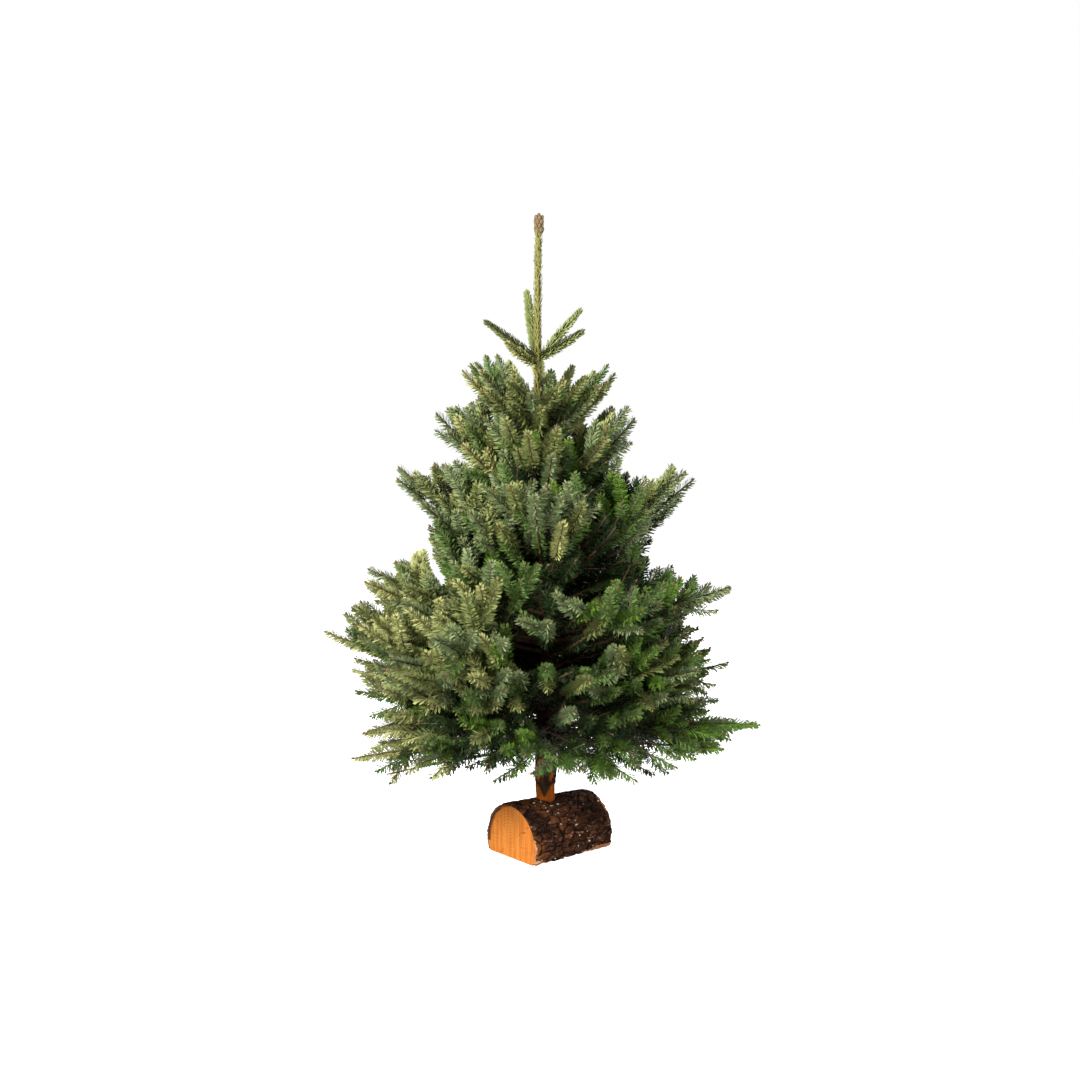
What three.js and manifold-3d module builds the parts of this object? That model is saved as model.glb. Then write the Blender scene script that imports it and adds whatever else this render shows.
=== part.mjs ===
// A small cut fir, 1.25 m tall, knocked into a half-log stand.
// The frame is in millimetres with +Z up. The origin is the middle of the log's flat underside,
// and +X runs along the log, from its thick end to its thin one.
import * as THREE from "three";
import { mergeVertices } from "three/addons/utils/BufferGeometryUtils.js";
import Module from "manifold-3d";

const wasm = await Module();
wasm.setup();

const TREE_TOP = 1250; // from the floor to the tip of the leader's bud
const TOUCH_GAP = 0.4; // left between pieces that meet

// The stand: a length of round log, sawn flat a little below its pith, bark still on.
const LOG_LENGTH = 202;
const LOG_RADIUS = 80; // thick end, with bark
const LOG_PITH_HEIGHT = 30; // the pith's height over the sawn flat, at the thick end
const LOG_TAPER = 0.94; // thin end over thick end
const LOG_STEPS = 4;
const LOG_ARC_POINTS = 22;
const LOG_BARK = 7; // thickness

// The trunk: its foot is shaved to a round peg, and the peg is driven into a bored socket.
const TRUNK_X = -13; // from the log's middle, towards its thick end
const PEG_RADIUS = 19;
const PEG_FOOT = 42; // height of the socket's bottom
const SHAVED_TO = 138;
const BARK_FROM = 150;
const TRUNK_RADIUS = 20.5; // where the bark starts
const TRUNK_TOP_RADIUS = 5.2; // just under the topmost whorl
const LEADER_FOOT = 953; // height of the topmost whorl
const LEADER_RADIUS = 4;
const LEADER_TIP_RADIUS = 2.8;
const BUD_LENGTH = 24; // of the cluster of buds at the leader's tip
const BUD_RADIUS = 7;
const BUD_POINT_RADIUS = 2;
const BUD_SHOULDER = 6; // length over which the cluster swells, and over which it closes
const TRUNK_LEAN = new THREE.Vector2(-9, 8); // the tip's shift from the foot
const TRUNK_SWEEP = new THREE.Vector2(5, -3); // a slow bow to and fro on the way up
const TRUNK_SIDES = 12;

// The needles pressed against the leader.
const SLEEVE_RADIUS = 9.8; // at its foot
const SLEEVE_TAPER = 2.2; // how much thinner it is at its top
const SLEEVE_RIPPLE = 0.7;
const SLEEVE_FOOT = 26; // over the topmost whorl
const SLEEVE_TOP = 8; // under the bud cluster
const SLEEVE_WALL_GAP = 1.6; // from the leader's bark
const SLEEVE_STEPS = 6;

// The crown as it stands on the log: bearings below are counted from this one.
const CROWN_TURN = -40;

// Whorls from the top down. Each bough is [bearing in degrees, reach of its tip from the trunk,
// rise of its tip over its foot]. bare is the share of the bough before its needles begin, and 0
// leaves the mass against the trunk. width, above and below are the mass's half sizes, and belly
// is how far the middle of the bough hangs below the straight line from foot to tip.
const WHORLS = [
  {
    foot: LEADER_FOOT, bare: 0, width: 17, above: 16, below: 16, belly: 6, sides: 8, rings: 7,
    boughs: [[335, 92, 70], [25, 88, 112], [120, 42, 146], [205, 106, 88]],
  },
  {
    foot: 839, bare: 0, width: 62, above: 44, below: 44, belly: 16, sides: 10, rings: 8,
    boughs: [[2, 142, 100], [66, 136, 104], [128, 134, 104], [190, 144, 106], [268, 128, 84]],
  },
  {
    foot: 690, bare: 0, width: 92, above: 66, below: 46, belly: 26, sides: 12, rings: 9,
    boughs: [[348, 176, 164], [48, 186, 170], [114, 190, 166], [184, 200, 174], [262, 184, 144]],
  },
  {
    foot: 540, bare: 0.25, width: 130, above: 68, below: 50, belly: 30, sides: 12, rings: 9,
    boughs: [[348, 284, 200], [62, 272, 190], [130, 272, 172], [188, 282, 200], [266, 276, 186]],
  },
  {
    foot: 420, bare: 0.2, width: 172, above: 54, below: 46, belly: 24, sides: 12, rings: 9,
    boughs: [[8, 364, 96], [80, 344, 120], [148, 352, 132], [206, 368, 138], [300, 336, 106]],
  },
  {
    foot: 310, bare: 0.18, width: 170, above: 58, below: 48, belly: 16, sides: 12, rings: 9,
    boughs: [
      [350, 350, 78], [42, 372, 88], [112, 378, 90], [177, 408, 112], [230, 388, 100],
      [282, 352, 104],
    ],
  },
  {
    foot: 226, bare: 0.18, width: 190, above: 28, below: 30, belly: -14, sides: 12, rings: 9,
    boughs: [[4, 414, 22], [72, 380, 20], [142, 380, 10], [206, 396, 4], [290, 366, 30]],
  },
];
const BOUGH_SIDES = 7;
const BOUGH_STEPS = 4;
const BOUGH_TO_TRUNK = 0.3; // a bough's radius is this share of the trunk's, and a little more
const BOUGH_LEAST_RADIUS = 1.6;
const BOUGH_COLLAR = 0.25; // extra thickness where it leaves the trunk
const BOUGH_TAPER = 0.28; // lost between the trunk and where the needles begin
const MASS_FOOT_SIZE = 0.72; // of its full width, near the trunk
const MASS_TIP_SIZE = 1.14; // and near the tip
const MASS_START = 8; // least distance from the bough's foot
const MASS_CLEAR = 2; // kept between a mass and the trunk
const SECTOR_GAP = 3; // kept between a mass and the line halfway to the next bough
const SECTOR_WIDEST = 60; // degrees to either side of the bough
const SLOW_BULGE = 0.09; // how uneven the masses are
const QUICK_BULGE = 0.07;

// A seeded wave, so that no two masses bulge alike.
function bulge(around, along, seed) {
  const slow = Math.sin(2 * around + 5 * along + 1.7 * seed);
  const quick = Math.sin(5 * around - 9 * along + 2.9 * seed);
  return 1 + SLOW_BULGE * slow + QUICK_BULGE * quick;
}

// Centre of the trunk at a height.
function trunkAt(height) {
  const up = Math.max(0, (height - BARK_FROM) / (TREE_TOP - BARK_FROM));
  const bow = Math.sin(2 * Math.PI * up);
  return new THREE.Vector3(
    TRUNK_X + TRUNK_LEAN.x * up + TRUNK_SWEEP.x * bow,
    TRUNK_LEAN.y * up + TRUNK_SWEEP.y * bow,
    height,
  );
}

// Radius of the trunk at a height: peg, barked taper, thin leader, bud cluster.
function trunkRadius(height) {
  if (height <= SHAVED_TO) return PEG_RADIUS;
  if (height >= TREE_TOP) return BUD_POINT_RADIUS;
  if (height > TREE_TOP - BUD_LENGTH) return BUD_RADIUS;
  if (height >= LEADER_FOOT) {
    const up = (height - LEADER_FOOT) / (TREE_TOP - BUD_LENGTH - LEADER_FOOT);
    return LEADER_RADIUS + up * (LEADER_TIP_RADIUS - LEADER_RADIUS);
  }
  const up = Math.max(0, (height - BARK_FROM) / (LEADER_FOOT - BARK_FROM));
  return TRUNK_RADIUS + up * (TRUNK_TOP_RADIUS - TRUNK_RADIUS);
}

// A limb: the rings of a cylinder carried onto a row of centres, each with its own radius.
// across is any direction that the limb never points in.
function limb(centres, radii, sides, across) {
  const last = centres.length - 1;
  const geometry = new THREE.CylinderGeometry(1, 1, 1, sides, last);
  const at = geometry.getAttribute("position");
  const frames = centres.map((centre, i) => {
    const before = centres[Math.max(0, i - 1)];
    const after = centres[Math.min(last, i + 1)];
    const along = after.clone().sub(before).normalize();
    const side = along.clone().cross(across).normalize();
    return { centre, side, front: side.clone().cross(along) };
  });
  for (let i = 0; i < at.count; i++) {
    const ring = Math.round((at.getY(i) + 0.5) * last);
    const { centre, side, front } = frames[ring];
    const point = centre
      .clone()
      .addScaledVector(side, at.getX(i) * radii[ring])
      .addScaledVector(front, at.getZ(i) * radii[ring]);
    at.setXYZ(i, point.x, point.y, point.z);
  }
  return geometry;
}

// The log's outline across its length, at a depth inside the bark: a round top on a flat cut.
function logArc(inside) {
  const radius = LOG_RADIUS - inside;
  const low = -Math.asin(LOG_PITH_HEIGHT / radius);
  const points = [];
  for (let i = 0; i <= LOG_ARC_POINTS; i++) {
    const angle = low + ((Math.PI - 2 * low) * i) / LOG_ARC_POINTS;
    points.push(
      new THREE.Vector2(radius * Math.cos(angle), LOG_PITH_HEIGHT + radius * Math.sin(angle)),
    );
  }
  points[0].y = 0;
  points[LOG_ARC_POINTS].y = 0;
  return points;
}

// An outline run along the log and shrunk towards the thin end.
function alongLog(outline) {
  const geometry = new THREE.ExtrudeGeometry(new THREE.Shape(outline), {
    depth: LOG_LENGTH,
    steps: LOG_STEPS,
    bevelEnabled: false,
  });
  const at = geometry.getAttribute("position");
  for (let i = 0; i < at.count; i++) {
    const along = at.getZ(i);
    const shrink = 1 + (along / LOG_LENGTH) * (LOG_TAPER - 1);
    at.setXYZ(i, along - LOG_LENGTH / 2, at.getX(i) * shrink, at.getY(i) * shrink);
  }
  return geometry;
}

// A closed geometry as a solid that can be cut, and back.
function solidOf(geometry) {
  const loose = geometry.index ? geometry.toNonIndexed() : geometry;
  const bare = new THREE.BufferGeometry();
  bare.setAttribute("position", loose.getAttribute("position"));
  const merged = mergeVertices(bare, 1e-3);
  return new wasm.Manifold(
    new wasm.Mesh({
      numProp: 3,
      vertProperties: merged.getAttribute("position").array,
      triVerts: new Uint32Array(merged.index.array),
    }),
  );
}

function geometryOf(solid) {
  const mesh = solid.getMesh();
  const geometry = new THREE.BufferGeometry();
  geometry.setAttribute("position", new THREE.BufferAttribute(mesh.vertProperties, 3));
  geometry.setIndex(new THREE.BufferAttribute(mesh.triVerts, 1));
  return geometry;
}

// The bored socket, as the solid that the auger takes out.
function socketBore() {
  const depth = LOG_RADIUS * 2;
  const bore = new THREE.CylinderGeometry(
    PEG_RADIUS + TOUCH_GAP, PEG_RADIUS + TOUCH_GAP, depth, 2 * TRUNK_SIDES,
  );
  bore.rotateX(Math.PI / 2);
  bore.translate(TRUNK_X, 0, PEG_FOOT - TOUCH_GAP + depth / 2);
  return solidOf(bore);
}

// The trunk's line, from the peg's flat foot to the bud at the tip of the leader.
function trunkGeometry() {
  const heights = [PEG_FOOT, 0.5 * (PEG_FOOT + SHAVED_TO), SHAVED_TO, BARK_FROM];
  const whorlFeet = WHORLS.map((whorl) => whorl.foot).reverse();
  for (const foot of whorlFeet) heights.push(0.5 * (heights.at(-1) + foot), foot);
  const neck = TREE_TOP - BUD_LENGTH;
  heights.push(0.5 * (LEADER_FOOT + neck), neck, neck + BUD_SHOULDER);
  heights.push(TREE_TOP - BUD_SHOULDER, TREE_TOP);
  return limb(
    heights.map(trunkAt), heights.map(trunkRadius), TRUNK_SIDES, new THREE.Vector3(0, 1, 0),
  );
}

// The needles pressed against the leader, as one sleeve round it.
function leaderNeedles() {
  const foot = LEADER_FOOT + SLEEVE_FOOT;
  const top = TREE_TOP - BUD_LENGTH - SLEEVE_TOP;
  const inside = LEADER_RADIUS + SLEEVE_WALL_GAP;
  const profile = [new THREE.Vector2(inside, foot), new THREE.Vector2(inside, top)];
  for (let i = SLEEVE_STEPS; i >= 0; i--) {
    const up = i / SLEEVE_STEPS;
    const outside = SLEEVE_RADIUS - SLEEVE_TAPER * up + SLEEVE_RIPPLE * Math.sin(19 * up);
    profile.push(new THREE.Vector2(outside, foot + (top - foot) * up));
  }
  profile.push(profile[0].clone());
  const sleeve = new THREE.LatheGeometry(profile.reverse(), TRUNK_SIDES);
  sleeve.rotateX(Math.PI / 2);
  const at = sleeve.getAttribute("position");
  for (let i = 0; i < at.count; i++) {
    const centre = trunkAt(at.getZ(i));
    at.setX(i, at.getX(i) + centre.x);
    at.setY(i, at.getY(i) + centre.y);
  }
  return sleeve;
}

// A bough's line: it leaves the trunk, dips by the belly, and rises to its tip.
function boughLine(whorl, [bearing, reach, rise]) {
  const turn = THREE.MathUtils.degToRad(bearing + CROWN_TURN);
  const out = new THREE.Vector3(Math.cos(turn), Math.sin(turn), 0);
  const foot = trunkAt(whorl.foot);
  const start = foot.clone().addScaledVector(out, trunkRadius(whorl.foot));
  const tip = foot.clone().addScaledVector(out, reach);
  tip.z += rise;
  const bend = start.clone().lerp(tip, 0.5);
  bend.z -= whorl.belly;
  const line = new THREE.QuadraticBezierCurve3(start, bend, tip);
  return { line, out, foot };
}

// The wood of a bough, from the trunk to where its needles begin. It starts far enough out for
// its slanting end to clear the trunk.
function boughGeometry(whorl, line) {
  const centres = [];
  const radii = [];
  const thick = BOUGH_TO_TRUNK * trunkRadius(whorl.foot) + BOUGH_LEAST_RADIUS;
  const slant = (1 + BOUGH_COLLAR) * thick * Math.abs(line.getTangentAt(0).z);
  const from = (slant + 2 * TOUCH_GAP) / line.getLength();
  const to = whorl.bare - (2 * TOUCH_GAP) / line.getLength();
  for (let i = 0; i <= BOUGH_STEPS; i++) {
    const share = i / BOUGH_STEPS;
    centres.push(line.getPointAt(from + share * (to - from)));
    const collar = 1 + BOUGH_COLLAR * Math.max(0, 1 - 3 * share);
    radii.push(thick * collar * (1 - BOUGH_TAPER * share));
  }
  return limb(centres, radii, BOUGH_SIDES, new THREE.Vector3(0, 0, 1));
}

// The nearest that a mass may come to the trunk's middle at a height.
function clearRadius(height) {
  const round = height > LEADER_FOOT ? SLEEVE_RADIUS : trunkRadius(height);
  return round + MASS_CLEAR;
}

// One mass of needles: a sphere drawn out along the bough, wide and rather flat, and held
// inside the sector between the lines halfway to its neighbours.
function massGeometry(whorl, line, out, foot, sector, seed) {
  const geometry = new THREE.SphereGeometry(1, whorl.sides, whorl.rings);
  const at = geometry.getAttribute("position");
  const side = new THREE.Vector3(-out.y, out.x, 0);
  const from = Math.max(whorl.bare, MASS_START / line.getLength());
  for (let i = 0; i < at.count; i++) {
    const [x, y, z] = [at.getX(i), at.getY(i), at.getZ(i)];
    const along = (1 - y) / 2;
    const share = from + (1 - from) * along;
    const up = line.getTangentAt(share).cross(side);
    const size = THREE.MathUtils.lerp(MASS_FOOT_SIZE, MASS_TIP_SIZE, along);
    const uneven = size * bulge(Math.atan2(z, x), along, seed);
    const point = line
      .getPointAt(share)
      .addScaledVector(side, x * whorl.width * uneven)
      .addScaledVector(up, z * (z > 0 ? whorl.above : whorl.below) * uneven)
      .sub(foot);
    const away = Math.max(point.dot(out), clearRadius(point.z + foot.z));
    const roomLeft = Math.max(0.5, Math.tan(sector.left) * away - SECTOR_GAP);
    const roomRight = Math.max(0.5, Math.tan(sector.right) * away - SECTOR_GAP);
    const aside = THREE.MathUtils.clamp(point.dot(side), -roomRight, roomLeft);
    at.setXYZ(
      i,
      foot.x + away * out.x + aside * side.x,
      foot.y + away * out.y + aside * side.y,
      foot.z + point.z,
    );
  }
  return geometry;
}

function dull(color, roughness) {
  return new THREE.MeshStandardMaterial({ color, roughness, metalness: 0 });
}
const LOG_WOOD = dull(0xd2843f, 0.7);
const LOG_BARK_BROWN = dull(0x3b261b, 0.95);
const TRUNK_BARK = dull(0x4a2f1c, 0.9);
const NEEDLE_GREEN = dull(0x59663a, 0.8);

// Half the turn from one bearing to the next, in radians.
function halfTurn(from, to) {
  const half = ((to - from + 360) % 360) / 2;
  return THREE.MathUtils.degToRad(Math.min(SECTOR_WIDEST, half));
}

const tree = new THREE.Group();

function place(name, geometry, material) {
  const mesh = new THREE.Mesh(geometry, material);
  mesh.name = name;
  tree.add(mesh);
}

const core = solidOf(alongLog(logArc(LOG_BARK + TOUCH_GAP))).subtract(socketBore());
const ring = [...logArc(0), ...logArc(LOG_BARK).reverse()];
const bark = solidOf(alongLog(ring)).subtract(socketBore());
place("log_core", geometryOf(core), LOG_WOOD);
place("log_bark", geometryOf(bark), LOG_BARK_BROWN);
place("trunk", trunkGeometry(), TRUNK_BARK);
place("leader_needles", leaderNeedles(), NEEDLE_GREEN);

WHORLS.forEach((whorl, level) => {
  const count = whorl.boughs.length;
  whorl.boughs.forEach((bough, i) => {
    const { line, out, foot } = boughLine(whorl, bough);
    const next = whorl.boughs[(i + 1) % count][0];
    const before = whorl.boughs[(i + count - 1) % count][0];
    const sector = { left: halfTurn(bough[0], next), right: halfTurn(before, bough[0]) };
    const label = `whorl${level + 1}`;
    const mass = massGeometry(whorl, line, out, foot, sector, 7 * level + i);
    place(`${label}_foliage_${i + 1}`, mass, NEEDLE_GREEN);
    if (whorl.bare > 0) place(`${label}_bough_${i + 1}`, boughGeometry(whorl, line), TRUNK_BARK);
  });
});

export default tree;
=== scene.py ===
"""A small cut fir, 1.25 m tall, whose shaved foot is driven into a half-log stand.

The file follows the tree as it is put together: the log and its bark, the trunk, the boughs that
grow out of it year by year, their twigs, needles and buds, and last the studio round it.
"""
import math

import bpy
import numpy as np
from mathutils import Matrix, Vector
from mathutils.bvhtree import BVHTree


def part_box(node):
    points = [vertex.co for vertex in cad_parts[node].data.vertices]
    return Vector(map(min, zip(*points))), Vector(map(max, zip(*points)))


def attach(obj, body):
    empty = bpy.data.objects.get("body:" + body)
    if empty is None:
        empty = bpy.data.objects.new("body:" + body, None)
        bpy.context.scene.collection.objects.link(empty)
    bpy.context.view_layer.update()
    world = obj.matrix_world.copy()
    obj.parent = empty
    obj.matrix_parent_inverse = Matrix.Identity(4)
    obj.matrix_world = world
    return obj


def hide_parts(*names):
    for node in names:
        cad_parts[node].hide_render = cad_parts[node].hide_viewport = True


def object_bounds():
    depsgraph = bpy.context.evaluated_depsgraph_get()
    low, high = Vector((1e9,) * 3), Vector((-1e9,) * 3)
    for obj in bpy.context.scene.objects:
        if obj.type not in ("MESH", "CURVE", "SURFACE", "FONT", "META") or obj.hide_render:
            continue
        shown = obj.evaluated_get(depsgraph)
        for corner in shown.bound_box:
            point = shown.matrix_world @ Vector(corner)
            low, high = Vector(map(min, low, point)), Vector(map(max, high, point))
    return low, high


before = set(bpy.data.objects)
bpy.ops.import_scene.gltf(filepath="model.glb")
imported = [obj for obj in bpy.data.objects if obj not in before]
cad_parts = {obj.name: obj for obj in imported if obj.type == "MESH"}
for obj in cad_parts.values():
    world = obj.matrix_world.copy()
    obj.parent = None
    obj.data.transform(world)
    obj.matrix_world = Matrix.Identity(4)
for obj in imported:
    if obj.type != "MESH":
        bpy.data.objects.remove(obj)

cad_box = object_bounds()


# ---- Log core -------------------------------------------------------------------------------
# The stand is a length of spruce log, sawn flat below its pith so that it lies still. Its two
# ends are fresh chainsaw cuts, orange and coarse, with the year rings showing and drying checks
# running out from the pith. A socket is bored down into it for the tree's foot.
CORE_TURNS = 240
CORE_RINGS = 22
CORE_STATIONS = 8
CORE_OVERLAP = 0.0003  # the core reaches this far into its bark, so that no gap shows
SAW_MARK_DEPTH = 0.00025
SAW_MARK_PITCH = 0.0031
SAW_MARK_TILT = 0.35  # radians from upright
SAW_WANDER, SAW_WANDER_OVER = 0.0009, 0.011  # the strokes are not quite straight
SAW_SHAKE, SAW_SHAKE_OVER = 0.0006, 0.007
CHECK_DEPTH = 0.0035
CHECK_WIDTH = 0.0012
# Drying checks: the turn each runs out at, and the shares of the way out it begins and ends at.
CHECKS = [(3.95, 0.15, 0.85), (2.5, 0.35, 1.0), (0.9, 0.5, 1.0), (5.6, 0.55, 1.0)]
FAR_END_TURN = 1.3  # the far end's checks are the same ones, turned
RIM_WIDTH = 0.008  # bark left on one edge of the sawn face
RIM_BLUR = 0.002
FACE_DEPTH = 0.004  # points no further in than this belong to the sawn face
SOCKET_SIDES = 48
SOCKET_PLAY = 0.0005  # the socket is a hair wider and deeper than the foot in it


def cad_points(name):
    """The vertices of a node of the frame, in metres."""
    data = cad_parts[name].data
    co = np.zeros(len(data.vertices) * 3)
    data.vertices.foreach_get("co", co)
    return co.reshape(-1, 3)


def log_shape(name):
    """The thick end's radius, the pith's height over the flat, both ends' places, the taper."""
    co = cad_points(name)
    thick, thin = co[:, 0].min(), co[:, 0].max()
    at_thick = co[co[:, 0] < thick + 0.001]
    at_thin = co[co[:, 0] > thin - 0.001]
    radius = at_thick[:, 1].max()
    top = at_thick[:, 2].max()
    return radius, top - radius, thick, thin, at_thin[:, 2].max() / top


def new_piece(name, points, faces, material, smooth=True):
    """A mesh object from points and faces, in the frame's metres."""
    mesh = bpy.data.meshes.new(name)
    mesh.from_pydata([tuple(p) for p in points], [], faces)
    mesh.materials.append(material)
    mesh.polygons.foreach_set("use_smooth", [smooth] * len(mesh.polygons))
    mesh.update()
    piece = bpy.data.objects.new(name, mesh)
    bpy.context.scene.collection.objects.link(piece)
    return piece


def new_material(name, colour, roughness, specular=0.3):
    """A plain material of one colour and gloss, and its shader to build on."""
    material = bpy.data.materials.new(name)
    material.use_nodes = True
    shader = material.node_tree.nodes["Principled BSDF"]
    shader.inputs["Base Color"].default_value = (*colour, 1)
    shader.inputs["Roughness"].default_value = roughness
    shader.inputs["Specular IOR Level"].default_value = specular
    return material, shader


def ramp(material, fac, stops):
    """A colour ramp over a 0 to 1 value; stops are (place, colour)."""
    node = material.node_tree.nodes.new("ShaderNodeValToRGB")
    elements = node.color_ramp.elements
    elements[0].position, elements[0].color = stops[0][0], (*stops[0][1], 1)
    elements[1].position, elements[1].color = stops[-1][0], (*stops[-1][1], 1)
    for place, colour in stops[1:-1]:
        elements.new(place).color = (*colour, 1)
    material.node_tree.links.new(fac, node.inputs["Fac"])
    return node.outputs["Color"]


def noise(material, scale, stretch=(1, 1, 1), detail=6.0, roughness=0.55):
    """Noise in the object's own metres, drawn out along an axis by a stretch."""
    nodes, links = material.node_tree.nodes, material.node_tree.links
    place = nodes.new("ShaderNodeTexCoord")
    mapping = nodes.new("ShaderNodeMapping")
    mapping.inputs["Scale"].default_value = stretch
    links.new(place.outputs["Object"], mapping.inputs["Vector"])
    node = nodes.new("ShaderNodeTexNoise")
    node.inputs["Scale"].default_value = scale
    node.inputs["Detail"].default_value = detail
    node.inputs["Roughness"].default_value = roughness
    links.new(mapping.outputs["Vector"], node.inputs["Vector"])
    return node.outputs["Fac"]


def mix(material, fac, first, second, mode="MIX"):
    """Two colours mixed; fac, first and second are sockets, numbers or colours."""
    node = material.node_tree.nodes.new("ShaderNodeMix")
    node.data_type = "RGBA"
    node.blend_type = mode
    for socket, value in ((0, fac), (6, first), (7, second)):
        if isinstance(value, bpy.types.NodeSocket):
            material.node_tree.links.new(value, node.inputs[socket])
        elif isinstance(value, tuple):
            node.inputs[socket].default_value = (*value, 1)
        else:
            node.inputs[socket].default_value = value
    return node.outputs[2]


def bump(material, shader, height, strength, distance):
    """Fine relief too small for the mesh."""
    node = material.node_tree.nodes.new("ShaderNodeBump")
    node.inputs["Strength"].default_value = strength
    node.inputs["Distance"].default_value = distance
    material.node_tree.links.new(height, node.inputs["Height"])
    material.node_tree.links.new(node.outputs["Normal"], shader.inputs["Normal"])


def bore(piece, centre, radius, foot, top):
    """Cuts a round upright socket out of a piece."""
    count = SOCKET_SIDES
    turns = np.linspace(0, 2 * math.pi, count, endpoint=False)
    circle = np.stack([centre[0] + radius * np.cos(turns), centre[1] + radius * np.sin(turns)], 1)
    points = [(x, y, z) for z in (foot, top) for x, y in circle]
    walls = [(i, (i + 1) % count, count + (i + 1) % count, count + i) for i in range(count)]
    caps = [tuple(range(count - 1, -1, -1)), tuple(range(count, 2 * count))]
    auger = new_piece("auger", points, walls + caps, piece.data.materials[0])
    cut = piece.modifiers.new("bore", "BOOLEAN")
    cut.operation, cut.object, cut.solver = "DIFFERENCE", auger, "EXACT"
    bpy.context.view_layer.update()
    shaped = piece.evaluated_get(bpy.context.evaluated_depsgraph_get())
    mesh = bpy.data.meshes.new_from_object(shaped)
    piece.modifiers.clear()
    piece.data = mesh
    bpy.data.objects.remove(auger)


def core_end(turns, shares, reach):
    """How far each point of a sawn end stands out along the log: saw marks, and checks cut in."""
    across = shares * reach * np.cos(turns)
    up = shares * reach * np.sin(turns)
    phase = across * math.cos(SAW_MARK_TILT) + up * math.sin(SAW_MARK_TILT)
    stroke = (phase + SAW_WANDER * np.sin(up / SAW_WANDER_OVER)
              + SAW_SHAKE * np.sin(across / SAW_SHAKE_OVER))
    out = SAW_MARK_DEPTH * np.sin(2 * math.pi * stroke / SAW_MARK_PITCH)
    for turn, start, end in CHECKS:
        wander = turn + 0.05 * np.sin(shares * 21) + 0.03 * np.sin(shares * 47)
        gap = np.abs((turns - wander + math.pi) % (2 * math.pi) - math.pi) * shares * reach
        inside = np.clip((shares - start) / 0.1, 0, 1) * np.clip((end + 0.02 - shares) / 0.1, 0, 1)
        out -= CHECK_DEPTH * inside * np.exp(-((gap / CHECK_WIDTH) ** 2))
    return out


log_radius, pith_height, thick_end, thin_end, log_taper = log_shape("log_bark")
core_radius = log_shape("log_core")[0] + CORE_OVERLAP
turns = np.linspace(0, 2 * math.pi, CORE_TURNS, endpoint=False)
down = np.minimum(np.sin(turns), -1e-6)
reach = np.minimum(core_radius, np.where(np.sin(turns) < 0, pith_height / -down, 1.0))


def core_ring(along, share, out):
    """One ring of the core round its pith, at a share of the way out to its skin."""
    shrink = 1 + (log_taper - 1) * (along - thick_end) / (thin_end - thick_end)
    y = share * reach * np.cos(turns) * shrink
    z = (pith_height + share * reach * np.sin(turns)) * shrink
    return np.stack([along + out, y, z], 1)


core_rows = []
for i in range(1, CORE_RINGS + 1):
    share = i / CORE_RINGS
    core_rows.append(core_ring(thick_end, share, -core_end(turns, share, reach)))
for i in range(1, CORE_STATIONS):
    along = thick_end + (thin_end - thick_end) * i / CORE_STATIONS
    core_rows.append(core_ring(along, 1.0, 0.0 * turns))
for i in range(CORE_RINGS, 0, -1):
    share = i / CORE_RINGS
    core_rows.append(core_ring(thin_end, share, core_end(turns + FAR_END_TURN, share, reach)))
core_points = np.concatenate(core_rows)


def tube_faces(rows, around, first=0):
    """The quads between rows of points that close on themselves."""
    low = first + np.arange(rows - 1)[:, None] * around + np.arange(around)[None]
    high = first + np.arange(rows - 1)[:, None] * around + (np.arange(around)[None] + 1) % around
    quads = np.stack([low, high, high + around, low + around], -1)
    return quads.reshape(-1, 4)


pith_ends = [(thick_end, 0, pith_height), (thin_end, 0, pith_height * log_taper)]
core_points = np.concatenate([core_points, pith_ends])
core_count = len(core_rows) * CORE_TURNS
core_faces = [tuple(f) for f in tube_faces(len(core_rows), CORE_TURNS)[:, ::-1]]
last_row = core_count - CORE_TURNS
for i in range(CORE_TURNS):
    j = (i + 1) % CORE_TURNS
    core_faces.append((core_count, i, j))
    core_faces.append((core_count + 1, last_row + j, last_row + i))


def painted(material, layer):
    """The value of a layer painted on the mesh's points."""
    node = material.node_tree.nodes.new("ShaderNodeAttribute")
    node.attribute_name = layer
    return node.outputs["Fac"]


def paint(piece, layer, values):
    """Keeps one value a point, for a material to read."""
    data = piece.data.attributes.new(layer, "FLOAT", "POINT")
    data.data.foreach_set("value", np.asarray(values, np.float32))


log_wood, shader = new_material("sawn_log_wood", (0.44, 0.135, 0.02), 0.8, 0.12)
wave = log_wood.node_tree.nodes.new("ShaderNodeTexWave")
wave.wave_type, wave.rings_direction = "RINGS", "X"
wave.inputs["Scale"].default_value = 52
wave.inputs["Distortion"].default_value = 1.6
wave.inputs["Detail"].default_value = 3
wave.inputs["Detail Scale"].default_value = 0.6
place = log_wood.node_tree.nodes.new("ShaderNodeTexCoord")
shift = log_wood.node_tree.nodes.new("ShaderNodeMapping")
shift.inputs["Location"].default_value = (0, 0, -pith_height)
log_wood.node_tree.links.new(place.outputs["Object"], shift.inputs["Vector"])
log_wood.node_tree.links.new(shift.outputs["Vector"], wave.inputs["Vector"])
rings = ramp(log_wood, wave.outputs["Fac"], [
    (0.0, (0.48, 0.15, 0.02)), (0.6, (0.51, 0.17, 0.026)), (1.0, (0.41, 0.116, 0.014))])
stain = ramp(log_wood, noise(log_wood, 22, (1, 1, 0.4), 4), [
    (0.3, (0.7, 0.55, 0.4)), (0.48, (1, 1, 1)), (0.72, (1.1, 1.25, 1.5))])
saw_marks = ramp(log_wood, noise(log_wood, 120, (1, 1, 0.08), 3), [
    (0.35, (0.8, 0.74, 0.66)), (0.6, (1.08, 1.12, 1.2))])
stained = mix(log_wood, 1.0, rings, stain, "MULTIPLY")
sawn = mix(log_wood, 1.0, stained, saw_marks, "MULTIPLY")
whole = mix(log_wood, painted(log_wood, "rim"), sawn, (0.03, 0.013, 0.007))
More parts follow.
